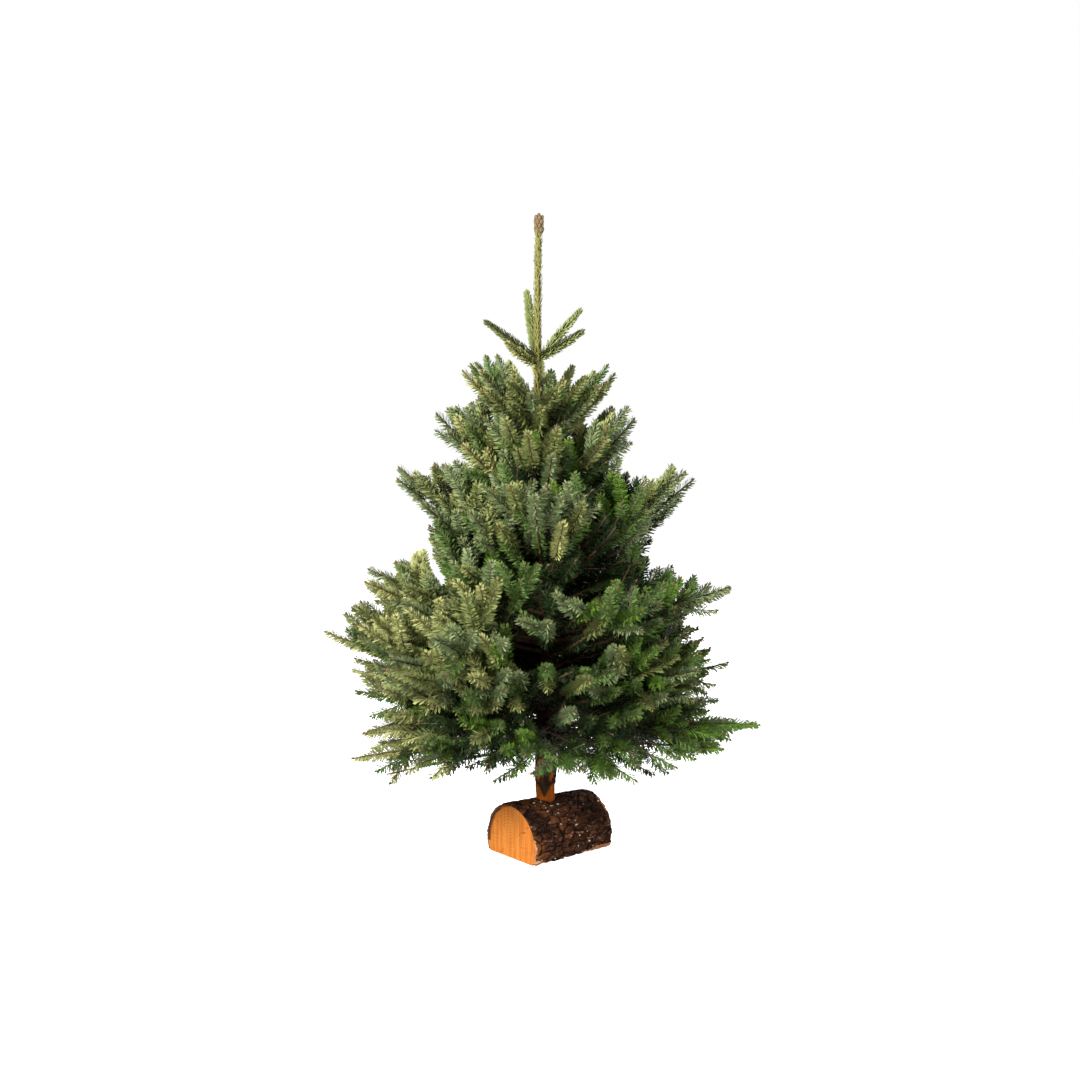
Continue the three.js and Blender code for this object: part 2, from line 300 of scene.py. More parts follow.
log_wood.node_tree.links.new(whole, shader.inputs["Base Color"])
bump(log_wood, shader, noise(log_wood, 900, (0.3, 1, 1)), 0.5, 0.0006)

log_core = new_piece("log_core_wood", core_points, core_faces, log_wood)
outward = np.arctan2(core_points[:, 2] - pith_height, core_points[:, 1])
from_skin = core_radius - np.hypot(core_points[:, 1], core_points[:, 2] - pith_height)
wide = RIM_WIDTH * np.clip(1.25 * np.cos(outward), 0, 1) * (np.sin(outward) > -0.15)
on_face = core_points[:, 0] < thick_end + FACE_DEPTH
paint(log_core, "rim", np.clip((wide - from_skin) / RIM_BLUR, 0, 1) * on_face)
peg_points = cad_points("trunk")
peg_foot = peg_points[:, 2].min()
peg_ring = peg_points[peg_points[:, 2] < peg_foot + 0.001]
peg_centre = peg_ring.mean(0)
peg_radius = np.linalg.norm((peg_ring - peg_centre)[:, :2], axis=1).max()
bore(log_core, peg_centre, peg_radius + SOCKET_PLAY, peg_foot - SOCKET_PLAY, 2 * log_radius)
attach(log_core, "root")
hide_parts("log_core")


# ---- Log bark -------------------------------------------------------------------------------
# Old bark left on the log's round side, split by drying into long plates with furrows between
# them, each plate flaking in small scales. The furrows and the scales' edges are painted dark,
# partly the bark's own colour and partly painted shade in the recesses. The saw has bared a pale
# line of inner bark along its lower edges, and rubbed spots and lichen show as light flecks.
BARK_THICKNESS = 0.007
BARK_ROWS = 170
BARK_COLUMNS = 250
PLATE_LENGTH = 0.03  # along the log
PLATE_WIDTH = 0.012
PLATE_STEP = 0.0012  # how much lower some plates lie than others
FURROW_DEPTH = 0.0042
FURROW_SHARE = 0.22  # of a plate's width
FLAKE_LENGTH = 0.008
FLAKE_DEPTH = 0.0011
LUMP_DEPTH = 0.0012
GRAIN_DEPTH = 0.0004
END_WEAR = 0.0015  # the bark is rubbed down where the saw came through
END_WEAR_REACH = 0.002
LEAST_BARK = 0.0012  # the bark is nowhere thinner
EDGE_BAND = 0.006  # the pale line along the lower edges
BARED_FROM = 0.01  # towards the thin end the bark is off along the lower edge
BARED_WIDTH = 0.009
BARED_END = 0.004  # and along parts of its sawn ends
LICHEN_FROM = 1.42  # higher leaves fewer flecks
RUST_STRENGTH = 0.8  # of the rusty tint near the thick end
HOLE_PLAY = 0.0012  # the hole through the bark is a little wider than the trunk


def nearest_two(first, second, cell_a, cell_b, seed):
    """How far off the two nearest seeds of an uneven grid are, and the nearest one's own value."""
    draw = np.random.default_rng(seed)
    u, v = first / cell_a, second / cell_b
    low_u, low_v = int(np.floor(u.min())) - 2, int(np.floor(v.min())) - 2
    shape = (int(np.ceil(u.max())) - low_u + 3, int(np.ceil(v.max())) - low_v + 3)
    seed_u, seed_v = draw.uniform(0, 1, shape), draw.uniform(0, 1, shape)
    value = draw.uniform(0, 1, shape)
    one, two = np.full(u.shape, 9.0), np.full(u.shape, 9.0)
    which = np.zeros(u.shape)
    for du in (-1, 0, 1):
        for dv in (-1, 0, 1):
            i = np.floor(u).astype(int) + du
            j = np.floor(v).astype(int) + dv
            cell = (i - low_u, j - low_v)
            gap = np.hypot(i + seed_u[cell] - u, j + seed_v[cell] - v)
            closer = gap < one
            two = np.where(closer, one, np.minimum(two, gap))
            which = np.where(closer, value[cell], which)
            one = np.where(closer, gap, one)
    return one, two, which


def ripple(first, second, count, low, high, seed):
    """A sum of random waves over two coordinates, about -1 to 1: cheap smooth noise."""
    draw = np.random.default_rng(seed)
    total = np.zeros(np.broadcast(first, second).shape)
    for _ in range(count):
        pitch = draw.uniform(low, high)
        heading, phase = draw.uniform(0, 2 * math.pi, 2)
        total += np.sin(pitch * (first * math.cos(heading) + second * math.sin(heading)) + phase)
    return total / math.sqrt(count) / 1.2


half_turn = math.asin(pith_height / log_radius)
bark_turns = np.linspace(-half_turn, math.pi + half_turn, BARK_COLUMNS)
bark_along = np.linspace(thick_end, thin_end, BARK_ROWS)
along, turn = np.meshgrid(bark_along, bark_turns, indexing="ij")
shrink = 1 + (log_taper - 1) * (along - thick_end) / (thin_end - thick_end)
arc = turn * log_radius
wave_a = along + 0.005 * ripple(along * 90, arc * 90, 14, 0.5, 3.2, 21)
wave_b = arc + 0.0035 * ripple(along * 110, arc * 110, 14, 0.5, 3.2, 22)
one, two, plate = nearest_two(wave_a, wave_b, PLATE_LENGTH, PLATE_WIDTH, 23)
furrow = np.clip(1 - (two - one) / FURROW_SHARE, 0, 1) ** 1.5
one, two, flake = nearest_two(wave_a, wave_b, FLAKE_LENGTH, FLAKE_LENGTH * 0.6, 24)
flake_edge = np.clip(1 - (two - one) / 0.25, 0, 1)
grain = ripple(along * 700, arc * 1300, 16, 0.6, 2.0, 25)
depth = FURROW_DEPTH * furrow + PLATE_STEP * plate + FLAKE_DEPTH * (0.6 * flake + 0.4 * flake_edge)
depth += GRAIN_DEPTH * (grain + 1)
from_end = np.minimum(along - thick_end, thin_end - along)
from_flat = np.minimum(turn + half_turn, math.pi + half_turn - turn) * log_radius
depth += LUMP_DEPTH * np.clip(ripple(along * 260, arc * 300, 14, 0.6, 2.0, 29), 0, 2)
depth += END_WEAR * np.exp(-from_end / END_WEAR_REACH)
depth = np.minimum(depth, BARK_THICKNESS - LEAST_BARK)
outer = (log_radius - depth) * shrink
inner = (log_radius - BARK_THICKNESS) * shrink
y, z = outer * np.cos(turn), pith_height * shrink + outer * np.sin(turn)
bark_points = [np.stack([along, y, np.maximum(z, 0)], -1).reshape(-1, 3)]
for row in (0, -1):  # the smooth inner face needs only its two ends
    y = inner[row] * np.cos(turn[row])
    z = pith_height * shrink[row] + inner[row] * np.sin(turn[row])
    bark_points.append(np.stack([along[row], y, np.maximum(z, 0)], -1))
bark_points = np.concatenate(bark_points)
grid = np.arange(BARK_ROWS * BARK_COLUMNS).reshape(BARK_ROWS, BARK_COLUMNS)
thick_rim = grid.size + np.arange(BARK_COLUMNS)
thin_rim = thick_rim + BARK_COLUMNS


def strips(first, second, third, fourth):
    """Quads between four runs of point numbers."""
    return [tuple(f) for f in np.stack([first, second, third, fourth], -1).reshape(-1, 4).tolist()]


bark_faces = strips(grid[:-1, :-1], grid[1:, :-1], grid[1:, 1:], grid[:-1, 1:])
bark_faces += strips(thick_rim[:-1], thick_rim[1:], thin_rim[1:], thin_rim[:-1])
bark_faces += strips(grid[0, :-1], grid[0, 1:], thick_rim[1:], thick_rim[:-1])
bark_faces += strips(grid[-1, :-1], thin_rim[:-1], thin_rim[1:], grid[-1, 1:])
bark_faces.append((*grid[::-1, 0].tolist(), int(thick_rim[0]), int(thin_rim[0])))
bark_faces.append((*grid[:, -1].tolist(), int(thin_rim[-1]), int(thick_rim[-1])))

log_bark, shader = new_material("furrowed_log_bark", (0.05, 0.025, 0.015), 0.95, 0.06)
# The dark end of this ramp, in the furrows, is partly painted shade.
scales = ramp(log_bark, painted(log_bark, "tone"), [
    (0.0, (0.004, 0.0018, 0.001)), (0.35, (0.011, 0.0048, 0.0028)), (0.6, (0.034, 0.013, 0.007)),
    (0.8, (0.085, 0.036, 0.018)), (1.0, (0.24, 0.13, 0.075))])
bared = ramp(log_bark, noise(log_bark, 160, (0.5, 1, 1)), [
    (0.35, (0.3, 0.1, 0.035)), (0.65, (0.52, 0.27, 0.14))])
rusty = mix(log_bark, painted(log_bark, "rust"), scales, (0.16, 0.055, 0.014))
whole = mix(log_bark, painted(log_bark, "bared"), rusty, bared)
lichen = mix(log_bark, painted(log_bark, "lichen"), whole, (0.5, 0.46, 0.4))
log_bark.node_tree.links.new(lichen, shader.inputs["Base Color"])
bump(log_bark, shader, noise(log_bark, 1100, (0.5, 1, 1)), 0.7, 0.0007)

fleck = ripple(along * 420, arc * 420, 14, 0.5, 2.2, 26)
patch = ripple(along * 34, arc * 34, 8, 0.6, 1.8, 27)
rub = ripple(along * 60, arc * 60, 8, 0.5, 1.6, 28)
# Darker in the furrows and along the scales' edges: partly the bark's own colour, partly painted
# shade in the recesses.
tone = 0.6 + 0.34 * (flake - 0.5) + 0.25 * (plate - 0.5)
tone = tone - 0.4 * furrow - 0.1 * flake_edge + 0.12 * grain
low = np.exp(-from_flat / 0.04) * (turn < 1.5) * (0.6 + 1.2 * np.exp(-(along - thick_end) / 0.05))
lichen_at = np.clip((fleck + 0.45 * patch + 0.35 * low - LICHEN_FROM) / 0.15, 0, 1) * (furrow < 0.5)
rust_at = np.exp(-(along - thick_end) / 0.06) * np.clip(0.5 + 0.9 * patch + 0.5 * rub, 0, 1)
rust_at *= RUST_STRENGTH * (furrow < 0.35)
bared_at = np.clip((EDGE_BAND * (0.4 + 1.1 * rub + 0.9 * patch) - from_flat) / 0.0015, 0, 1)
bared_width = BARED_WIDTH * np.clip((along - BARED_FROM) / 0.05, 0, 1)
bared_at = np.maximum(bared_at, (from_flat < bared_width) * 1.0)
bared_at = np.maximum(bared_at, np.clip((BARED_END * (rub + patch - 0.6) - from_end) / 0.001, 0, 1))
rims = np.zeros(2 * BARK_COLUMNS)
bark_cover = new_piece("log_bark_cover", bark_points, bark_faces, log_bark)
paint(bark_cover, "tone", np.concatenate([np.clip(tone, 0, 1).ravel(), rims + 0.55]))
paint(bark_cover, "lichen", np.concatenate([lichen_at.ravel(), rims]))
paint(bark_cover, "rust", np.concatenate([rust_at.ravel(), rims + 0.5]))
paint(bark_cover, "bared", np.concatenate([bared_at.ravel(), rims + 0.15]))
bore(bark_cover, peg_centre, peg_radius + HOLE_PLAY, pith_height, 2 * log_radius)
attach(bark_cover, "root")
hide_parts("log_bark")


# ---- Trunk ----------------------------------------------------------------------------------
# One stem from its flat foot to the leader's tip. The foot is shaved with a knife to fit the
# socket, so fresh orange wood shows there, with tongues of bark left on; above it the bark is
# dark, thin and finely cracked, scraped through here and there, and it swells at each whorl.
TRUNK_SIDES = 48
RING_GAP = 0.002  # the frame's trunk is rings of points, further apart than this
TRUNK_STEP = 0.0035
LEADER_STEP = 0.006
WHORL_SWELL = 0.13
WHORL_SWELL_REACH = 0.016
CRACK_DEPTH = 0.0008
STEM_GRAIN_DEPTH = 0.00035
KNIFE_DEPTH = 0.0006  # the flats the knife left
BARK_LIFT = 0.0012  # how far the bark stands over the shaved wood
BARK_LIFT_FROM = 0.11
STEM_RADIUS = 0.02  # a mean one, so that cracks keep their size all the way up
SHAVED_TOP = 0.136
SHAVED_EDGE = 0.0006  # how sharply the bark ends there
# Tongues of bark down the shaved foot: turn, drop, width.
BARK_TONGUES = [(-2.35, 0.024, 0.42), (0.6, 0.02, 0.5), (2.4, 0.016, 0.4)]
# Places scraped through to the wood: turn, height, half width, half length.
SCRAPES = [(-3.05, 0.166, 0.007, 0.022), (-1.72, 0.171, 0.006, 0.026),
           (-2.55, 0.176, 0.0035, 0.02), (0.9, 0.17, 0.006, 0.02)]
STEM_END = 0.0085  # the stem stops this far under the top, inside the top bud
BUD_CLUSTER = 0.04  # buds hide the stem from this far under the top, and it is slimmer there
SLIM_SHARE = 0.5

trunk_cad = cad_points("trunk")
by_height = trunk_cad[trunk_cad[:, 2].argsort()]
ring = np.concatenate([[0], np.cumsum(np.diff(by_height[:, 2]) > RING_GAP)])
rings = [by_height[ring == i] for i in range(ring[-1] + 1)]
ring_centres = np.array([(r.min(0) + r.max(0)) / 2 for r in rings])
ring_radii = np.array([
    np.linalg.norm((r - c)[:, :2], axis=1).max() for r, c in zip(rings, ring_centres)])
tree_top = trunk_cad[:, 2].max()


def trunk_centre(height):
    """The middle of the stem at a height, or at many."""
    x = np.interp(height, ring_centres[:, 2], ring_centres[:, 0])
    y = np.interp(height, ring_centres[:, 2], ring_centres[:, 1])
    return np.stack([x, y, np.asarray(height, float)], -1)


def trunk_radius(height):
    return np.interp(height, ring_centres[:, 2], ring_radii)


# Each whorl's height on the stem, from where its boughs or masses come nearest to it.
masses = sorted(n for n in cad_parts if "_foliage_" in n)
whorl_feet = {}
for name in masses:
    co = cad_points(name)
    away = np.linalg.norm((co - trunk_centre(co[:, 2]))[:, :2], axis=1)
    bough = name.replace("foliage", "bough")
    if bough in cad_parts:
        co = cad_points(bough)
        away = np.linalg.norm((co - trunk_centre(co[:, 2]))[:, :2], axis=1)
    near = co[away < away.min() + 0.012]
    whorl_feet.setdefault(name.split("_")[0], []).append(near[:, 2].mean())
whorl_feet = {whorl: float(np.mean(z)) for whorl, z in whorl_feet.items()}
leader_foot = max(whorl_feet.values())

foot_rows = np.arange(trunk_cad[:, 2].min(), leader_foot, TRUNK_STEP)
leader_rows = np.arange(leader_foot, tree_top - STEM_END - 0.0005, LEADER_STEP)
rows = np.concatenate([foot_rows, leader_rows, [tree_top - STEM_END]])
turns = np.linspace(0, 2 * math.pi, TRUNK_SIDES, endpoint=False)
row, turn = np.meshgrid(rows, turns, indexing="ij")

swell = 1 + sum(
    WHORL_SWELL * np.exp(-(((row - z) / WHORL_SWELL_REACH) ** 2)) for z in whorl_feet.values())
radius = trunk_radius(row) * np.where(row > tree_top - BUD_CLUSTER, SLIM_SHARE, 1)
around = turn * STEM_RADIUS
tongue = sum(
    drop * np.exp(-((((turn - at + math.pi) % (2 * math.pi) - math.pi) / wide) ** 2))
    for at, drop, wide in BARK_TONGUES)
edge = SHAVED_TOP - tongue + 0.003 * ripple(np.cos(turn) * 3, np.sin(turn) * 3, 8, 1, 5, 5)
shaved = 1 / (1 + np.exp(np.clip((row - edge) / SHAVED_EDGE, -50, 50)))
for at, height, wide, long in SCRAPES:
    aside = ((turn - at + math.pi) % (2 * math.pi) - math.pi) * STEM_RADIUS
    ragged = 1 + 0.35 * ripple(row * 900, aside * 900, 6, 0.5, 1.5, 9)
    inside = (aside / wide) ** 2 + ((row - height) / long) ** 2 < ragged
    shaved = np.maximum(shaved, inside * 1.0)
cracks = np.abs(ripple(around * 900, row * 160, 14, 0.8, 2.4, 2))
grain = ripple(around * 2600, row * 500, 12, 0.6, 1.8, 3)
thick = np.clip(radius / STEM_RADIUS, 0.15, 1)
relief = thick * (STEM_GRAIN_DEPTH * grain - CRACK_DEPTH * np.clip(1 - 2.5 * cracks, -0.4, 1))
knife = KNIFE_DEPTH * np.abs(np.sin(turn * 4.5 + 2 * np.sin(row * 90)))
bark_lift = BARK_LIFT * thick * (row > BARK_LIFT_FROM)
outline = radius * swell + np.where(shaved > 0.5, -knife, relief + bark_lift)
centre = trunk_centre(row)
trunk_points = centre + np.stack([outline * np.cos(turn), outline * np.sin(turn), 0 * row], -1)
count = len(rows) * TRUNK_SIDES
trunk_points = np.concatenate([trunk_points.reshape(-1, 3), centre[[0, -1], 0]])
trunk_faces = [tuple(f) for f in tube_faces(len(rows), TRUNK_SIDES)]
for i in range(TRUNK_SIDES):
    j = (i + 1) % TRUNK_SIDES
    trunk_faces.append((count, j, i))
    trunk_faces.append((count + 1, count - TRUNK_SIDES + i, count - TRUNK_SIDES + j))

trunk_bark, shader = new_material("trunk_bark", (0.06, 0.03, 0.015), 0.9, 0.08)
bark_tone = ramp(trunk_bark, noise(trunk_bark, 90, (1, 1, 0.35)), [
    (0.3, (0.014, 0.007, 0.004)), (0.55, (0.035, 0.018, 0.009)), (0.75, (0.075, 0.04, 0.019))])
fresh = ramp(trunk_bark, noise(trunk_bark, 60, (1, 1, 0.2)), [
    (0.3, (0.13, 0.026, 0.002)), (0.5, (0.33, 0.078, 0.005)), (0.75, (0.48, 0.16, 0.014))])
whole = mix(trunk_bark, painted(trunk_bark, "shaved"), bark_tone, fresh)
trunk_bark.node_tree.links.new(whole, shader.inputs["Base Color"])
bump(trunk_bark, shader, noise(trunk_bark, 500, (1, 1, 0.4)), 0.6, 0.0008)

trunk = new_piece("trunk_stem", trunk_points, trunk_faces, trunk_bark)
paint(trunk, "shaved", np.concatenate([shaved.ravel(), [1, 0]]))
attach(trunk, "root")
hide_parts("trunk")


# ---- Boughs and twigs -----------------------------------------------------------------------
# The living wood. A bough runs along the middle of its mass in the frame and adds one length a
# year at its tip; from the end of each year's length it sends out side limbs, which do the same
# and stop at the mass's skin. Upper boughs rise; the lowest spread level and hang at their ends.
YEAR_LENGTHS = [0.094, 0.086, 0.078, 0.07, 0.06, 0.052, 0.045]  # newest first
BOUGH_SIDES = 8
TWIG_SIDES = 3
TIP_RADIUS = 0.0011
YEARLY_RADIUS = 0.0005  # what a twig's radius gains in a year
BOUGH_END_RADIUS = 0.0013
TOP_WHORL_RADIUS = 0.001
NEEDLES_REACH_PAST = 0.008  # how far needles reach past a shoot's own end
LEAST_SHOOT = 0.04
# For each order of limb, its side limbs as (roll about the limb, angle off it, vigour, chance).
SIDE_LIMBS = {
    1: [(8, 44, 0.95, 1.0), (172, 44, 0.95, 1.0), (64, 38, 0.9, 0.45), (116, 38, 0.9, 0.45),
        (-90, 44, 0.8, 0.3)],
    2: [(14, 42, 0.92, 0.8), (166, 42, 0.92, 0.8), (90, 36, 0.88, 0.25)],
    3: [(10, 40, 0.9, 0.12), (170, 40, 0.9, 0.12)],
    4: [],
}
BETWEEN_YEARS = {1: 0.3, 2: 0.06, 3: 0.0, 4: 0.0}  # chance of a small shoot along a year's length
# How strongly this year's shoots turn up, whorl by whorl from the top; the lowest hang.
UPTURN = {"whorl1": 0.3, "whorl2": 0.7, "whorl3": 0.8, "whorl4": 0.75, "whorl5": 0.6,
          "whorl6": 0.35, "whorl7": -0.5}
ROOM_ABOVE = 0.02  # how far upturned shoots may stand over a mass
ROOM_UNDER = 0.04  # how far hanging ones may reach under it
LOWEST = 0.168  # no shoot ends lower than this
OVER_BOX = 0.004  # how far a shoot may end outside the crown's box
# Lesser boughs beside each main one, as (turn from it in degrees, share of its length, height).
LESSER_BOUGHS = [(-24, 0.8, -0.008), (22, 0.84, 0.014), (-11, 0.93, 0.024), (12, 0.86, -0.02)]
DEEP_SHARE = 0.45  # within this share of the crown's reach twigs starve, and most have dropped
DEEP_CHANCE = 0.25
# Hollows in the crown, where boughs are missing and no young shoots stand, and the small gaps
# that let the sky through: x, y, z, size, and whether the crown is open right through.
LOOK_FROM = Vector((-1.93, -2.3, 0.948))  # the side the hollows open to
HOLLOWS = [
    (-0.04, -0.136, 0.446, 0.055, False), (-0.118, -0.07, 0.421, 0.04, False),
    (0.053, -0.201, 0.6, 0.045, False), (-0.12, -0.15, 0.29, 0.04, False),
    (-0.02, -0.14, 0.566, 0.045, False), (-0.02, -0.14, 0.614, 0.03, False),
    (-0.106, -0.172, 0.34, 0.045, False), (0.023, -0.019, 0.555, 0.02, True),
    (0.051, -0.043, 0.509, 0.02, True), (-0.163, 0.137, 0.552, 0.022, True),
]
CROWDED = 0.021  # the least distance between the middles of two shoots of this year
BARE_BELOW = 0.235  # under this height the boughs are bare near the trunk
BARE_REACH = 0.2
HANGING_FROM = 0.17  # nearer the trunk than this no shoot hangs under its mass
CUT_BELOW = 0.212  # shoots this low are cut where they hang over the open side of the log
CUT_ASIDE = 0.17  # how far to either side of it
# How far out, of the crown's reach, twigs fill the room between the whorls, by height.
FULL_HEIGHTS = [0.24, 0.33, 0.5, 0.57, 0.85, 0.95]
FULL_SHARES = [0.85, 1.0, 1.0, 0.7, 0.74, 0.5]
# Towards the side of the crown whose needles get painted light, paler and yellower; the side away
# from it gets painted shade in darker greens.
TOWARDS_PAINTED_LIGHT = Vector((-math.cos(math.radians(40)), math.sin(math.radians(40)), 0))
CROWN_LEAN = 0.042  # how far the room they fill leans towards the side with painted light
BOUGHS_BETWEEN = [8, 9, 8, 6, 6, 5]  # small boughs between whorls, from the lowest up
GOLDEN_DEGREES = 137.5  # each small bough, and each needle, stands this far round from the last
FOOT_SHARE = 0.3  # a bough's thickness at its foot, of the trunk's
LESSER_FOOT_SHARE = 0.7  # and a lesser bough's, of that
BETWEEN_FOOT_SHARE = 0.2
FOOT_INSIDE = 0.7  # boughs start inside the stem, at this share of its radius

skins = []
for name in masses:
    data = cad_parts[name].data
    skin = BVHTree.FromPolygons([v.co.copy() for v in data.vertices],
                                [tuple(p.vertices) for p in data.polygons])
    skins.append((skin, *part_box(name)))
chance = np.random.default_rng(2024)
shoots = []
taken = {}
reach_heights = []
for name in masses:
    co = cad_points(name)
    away = np.linalg.norm((co - trunk_centre(co[:, 2]))[:, :2], axis=1)
    reach_heights.append((co[away.argmax(), 2], away.max()))
reach_heights = np.array(sorted(reach_heights))


def full_reach(height):
    """How far from the trunk the crown is full at a height, whorl or no whorl."""
    reach = np.interp(height, reach_heights[:, 0], reach_heights[:, 1])
    return float(reach * np.interp(height, FULL_HEIGHTS, FULL_SHARES))


def beyond_skin(point):
    """How far a point stands outside the crown's heart and every mass; negative inside."""
    middle = Vector(trunk_centre(point.z)) + TOWARDS_PAINTED_LIGHT * CROWN_LEAN
    least = (point - middle).length - full_reach(point.z)
    if not min(whorl_feet.values()) - 0.02 < point.z < leader_foot + 0.02:
        least = 1.0
    for skin, low, high in skins:
        if all(low[i] - 0.04 < point[i] < high[i] + 0.04 for i in range(3)):
            hit, normal, _, distance = skin.find_nearest(point)
            least = min(least, distance if (point - hit).dot(normal) > 0 else -distance)
    return least


def starved(tip):
    """Whether a limb with its tip here is too deep in the crown to have lived."""
    away = math.hypot(tip.x - trunk_centre(tip.z)[0], tip.y - trunk_centre(tip.z)[1])
    reach = np.interp(tip.z, reach_heights[:, 0], reach_heights[:, 1])
    return away < DEEP_SHARE * reach and chance.random() > DEEP_CHANCE


def outside_box(point):
    """Whether a point stands past the sides of the whole tree's box."""
    low, high = cad_box
    return any(not low[i] - OVER_BOX < point[i] < high[i] + OVER_BOX for i in (0, 1))


def in_hollow(point):
    """Whether a point is in one of the crown's hollows or gaps."""
    for x, y, z, size, through in HOLLOWS:
        line = (Vector((x, y, z)) - LOOK_FROM).normalized()
        offset = point - Vector((x, y, z))
        along = offset.dot(line)
        if (offset - line * along).length < size and (through or along < size):
            return True
    return False


def crowded(point):
    """Whether another shoot already has its middle near this point."""
    cell = tuple(int(math.floor(p / CROWDED)) for p in point)
    near = (taken.get((cell[0] + i, cell[1] + j, cell[2] + k), ())
            for i in (-1, 0, 1) for j in (-1, 0, 1) for k in (-1, 0, 1))
    return any((point - other).length < CROWDED for spots in near for other in spots)


def room_for(start, heading, length, pull):
    """The length of a shoot that keeps its needles inside the crown's outline."""
    past = chance.uniform(-0.4, 1.0) * NEEDLES_REACH_PAST
    hanging = pull.z < 0 and math.hypot(start.x, start.y) > HANGING_FROM
    slack = Vector((0, 0, ROOM_ABOVE))
    if pull.z < 0:
        slack = Vector((0, 0, -ROOM_UNDER * hanging * chance.random()))
    for share in (1.0, 0.86, 0.72, 0.58):
        tip = start + heading * length * share
        if tip.z < LOWEST or (tip.z < BARE_BELOW and math.hypot(tip.x, tip.y) < BARE_REACH):
            continue
        if outside_box(tip) or in_hollow(tip) or in_hollow(start.lerp(tip, 0.5)):
            continue
        if min(beyond_skin(tip), beyond_skin(tip - slack)) < -past:
            return length * share
    return 0.0


def add_shoot(start, control, end, up, age, order, spray, last):
    """One year's length of a limb, bent from start to end past its control point."""
    middle = (start + end) / 2
    taken.setdefault(tuple(int(math.floor(p / CROWDED)) for p in middle), []).append(middle)
    shoots.append({"a": start, "b": control, "c": end, "up": up, "age": age, "order": order,
                   "spray": spray, "last": last})


def turned(heading, up, roll, angle):
    """A direction at an angle off a heading, rolled about it from the side towards up."""
    side = heading.cross(up).normalized()
    above = side.cross(heading).normalized()
    roll, angle = math.radians(roll), math.radians(angle)
    out = side * math.cos(roll) + above * math.sin(roll)
    return (heading * math.cos(angle) + out * math.sin(angle)).normalized()


def jitter(size):
    return Vector(chance.normal(0, size, 3))


def side_limbs(point, heading, up, lengths, order, spray, pull, base):
    """The side limbs that leave a limb at the end of one year's length."""
    for roll, angle, vigour, odds in SIDE_LIMBS[order]:
        if chance.random() > odds:
            continue
        away = turned(heading, up, roll + chance.normal(0, 9), angle + chance.normal(0, 5))
        scale = vigour * chance.uniform(0.82, 1.12)
        own = [scale * length for length in lengths]
        if own[-1] < LEAST_SHOOT or starved(point + away * sum(own)):
            continue
        where = f"{base}/{len(shoots)}" if order == 1 else spray
        drift = (heading * 0.8 + pull).normalized()
        grow(point, away, up, own, order + 1, where, drift, pull, base)


def small_shoot(start, control, end, up, order, spray, pull):
    """A short shoot from half way along a year's length."""
    if chance.random() > BETWEEN_YEARS[order]:
        return
    point = start * 0.25 + control * 0.5 + end * 0.25
    heading = (end - start).normalized()
    away = turned(heading, up, chance.uniform(-20, 200), chance.uniform(42, 58))
    away = (away + pull * 0.6).normalized()
    length = room_for(point, away, chance.uniform(0.05, 0.075), pull)
    tip = point + away * length
    if length > LEAST_SHOOT and not starved(tip) and not crowded(point.lerp(tip, 0.5)):
        add_shoot(point, point.lerp(tip, 0.5), tip, up, 1, order + 1, spray, True)


def grow(start, heading, up, lengths, order, spray, drift, pull, base):
    """A limb from its foot, a year at a time; lengths run from its oldest year to its newest."""
    point = start
    for index, length in enumerate(lengths):
        newest = index == len(lengths) - 1
        turn_to = (heading + drift * 0.16 + pull * (0.7 if newest else 0.15) + jitter(0.05))
        turn_to.normalize()
        if newest:
            heading = (heading + pull * 0.35).normalized()
        fits = room_for(point, turn_to, length, pull)
        if fits < LEAST_SHOOT:
            if index and shoots[-1]["c"] == point:
                shoots[-1]["last"] = True
            return
        age = len(lengths) - index
        control = point + heading * fits * 0.5
        end = control + turn_to * fits * 0.5
        last = newest or fits < 0.8 * length
        if last and crowded((point + end) / 2):
            if index and shoots[-1]["c"] == point:
                shoots[-1]["last"] = True
            return
        add_shoot(point, control, end, up, 1 if last else age, order, spray, last)
        small_shoot(point, control, end, up, order, spray, pull)
        if last:
            return
        side_limbs(end, turn_to, up, lengths[index + 1:], order, spray, pull, base)
        point, heading = end, turn_to


def grow_bough(name, line, upturn, foot_radius):
    """A bough along its line, with its side limbs; its years are counted back from its tip."""
    while outside_box(line[2]):
        line = [line[0].lerp(p, 0.96) for p in line]
    whole = line_length(line) - NEEDLES_REACH_PAST
    scale = chance.uniform(0.94, 1.08)
    ends = [whole]
    for length in YEAR_LENGTHS:
        if ends[-1] - length * scale < LEAST_SHOOT:
            break
        ends.append(ends[-1] - length * scale)
    if name.startswith("whorl1"):
        ends = ends[:1]  # the top whorl grew this year
    ends = [0.0] + [end / whole for end in reversed(ends)]
    years = len(ends) - 1
    pull = Vector((0, 0, upturn))
    up = Vector((0, 0, 1))
    boughs.append((line, years, foot_radius))
    for index in range(years):
        first, last = ends[index], ends[index + 1]
        start, end = on_line(line, first), on_line(line, last)
        heading = (on_line(line, min(1, last)) - on_line(line, last - 0.02)).normalized()
        control = on_line(line, (first + last) / 2) * 2 - start * 0.5 - end * 0.5
        age = years - index
        spray = f"{name}/bough"
        add_shoot(start, control, end, up, age, 1, spray, age == 1)
        small_shoot(start, control, end, up, 1, spray, pull)
        if age > 1:
            lengths = [(ends[k + 1] - ends[k]) * whole for k in range(index + 1, years)]
            side_limbs(end, heading, up, lengths, 1, spray, pull, name)


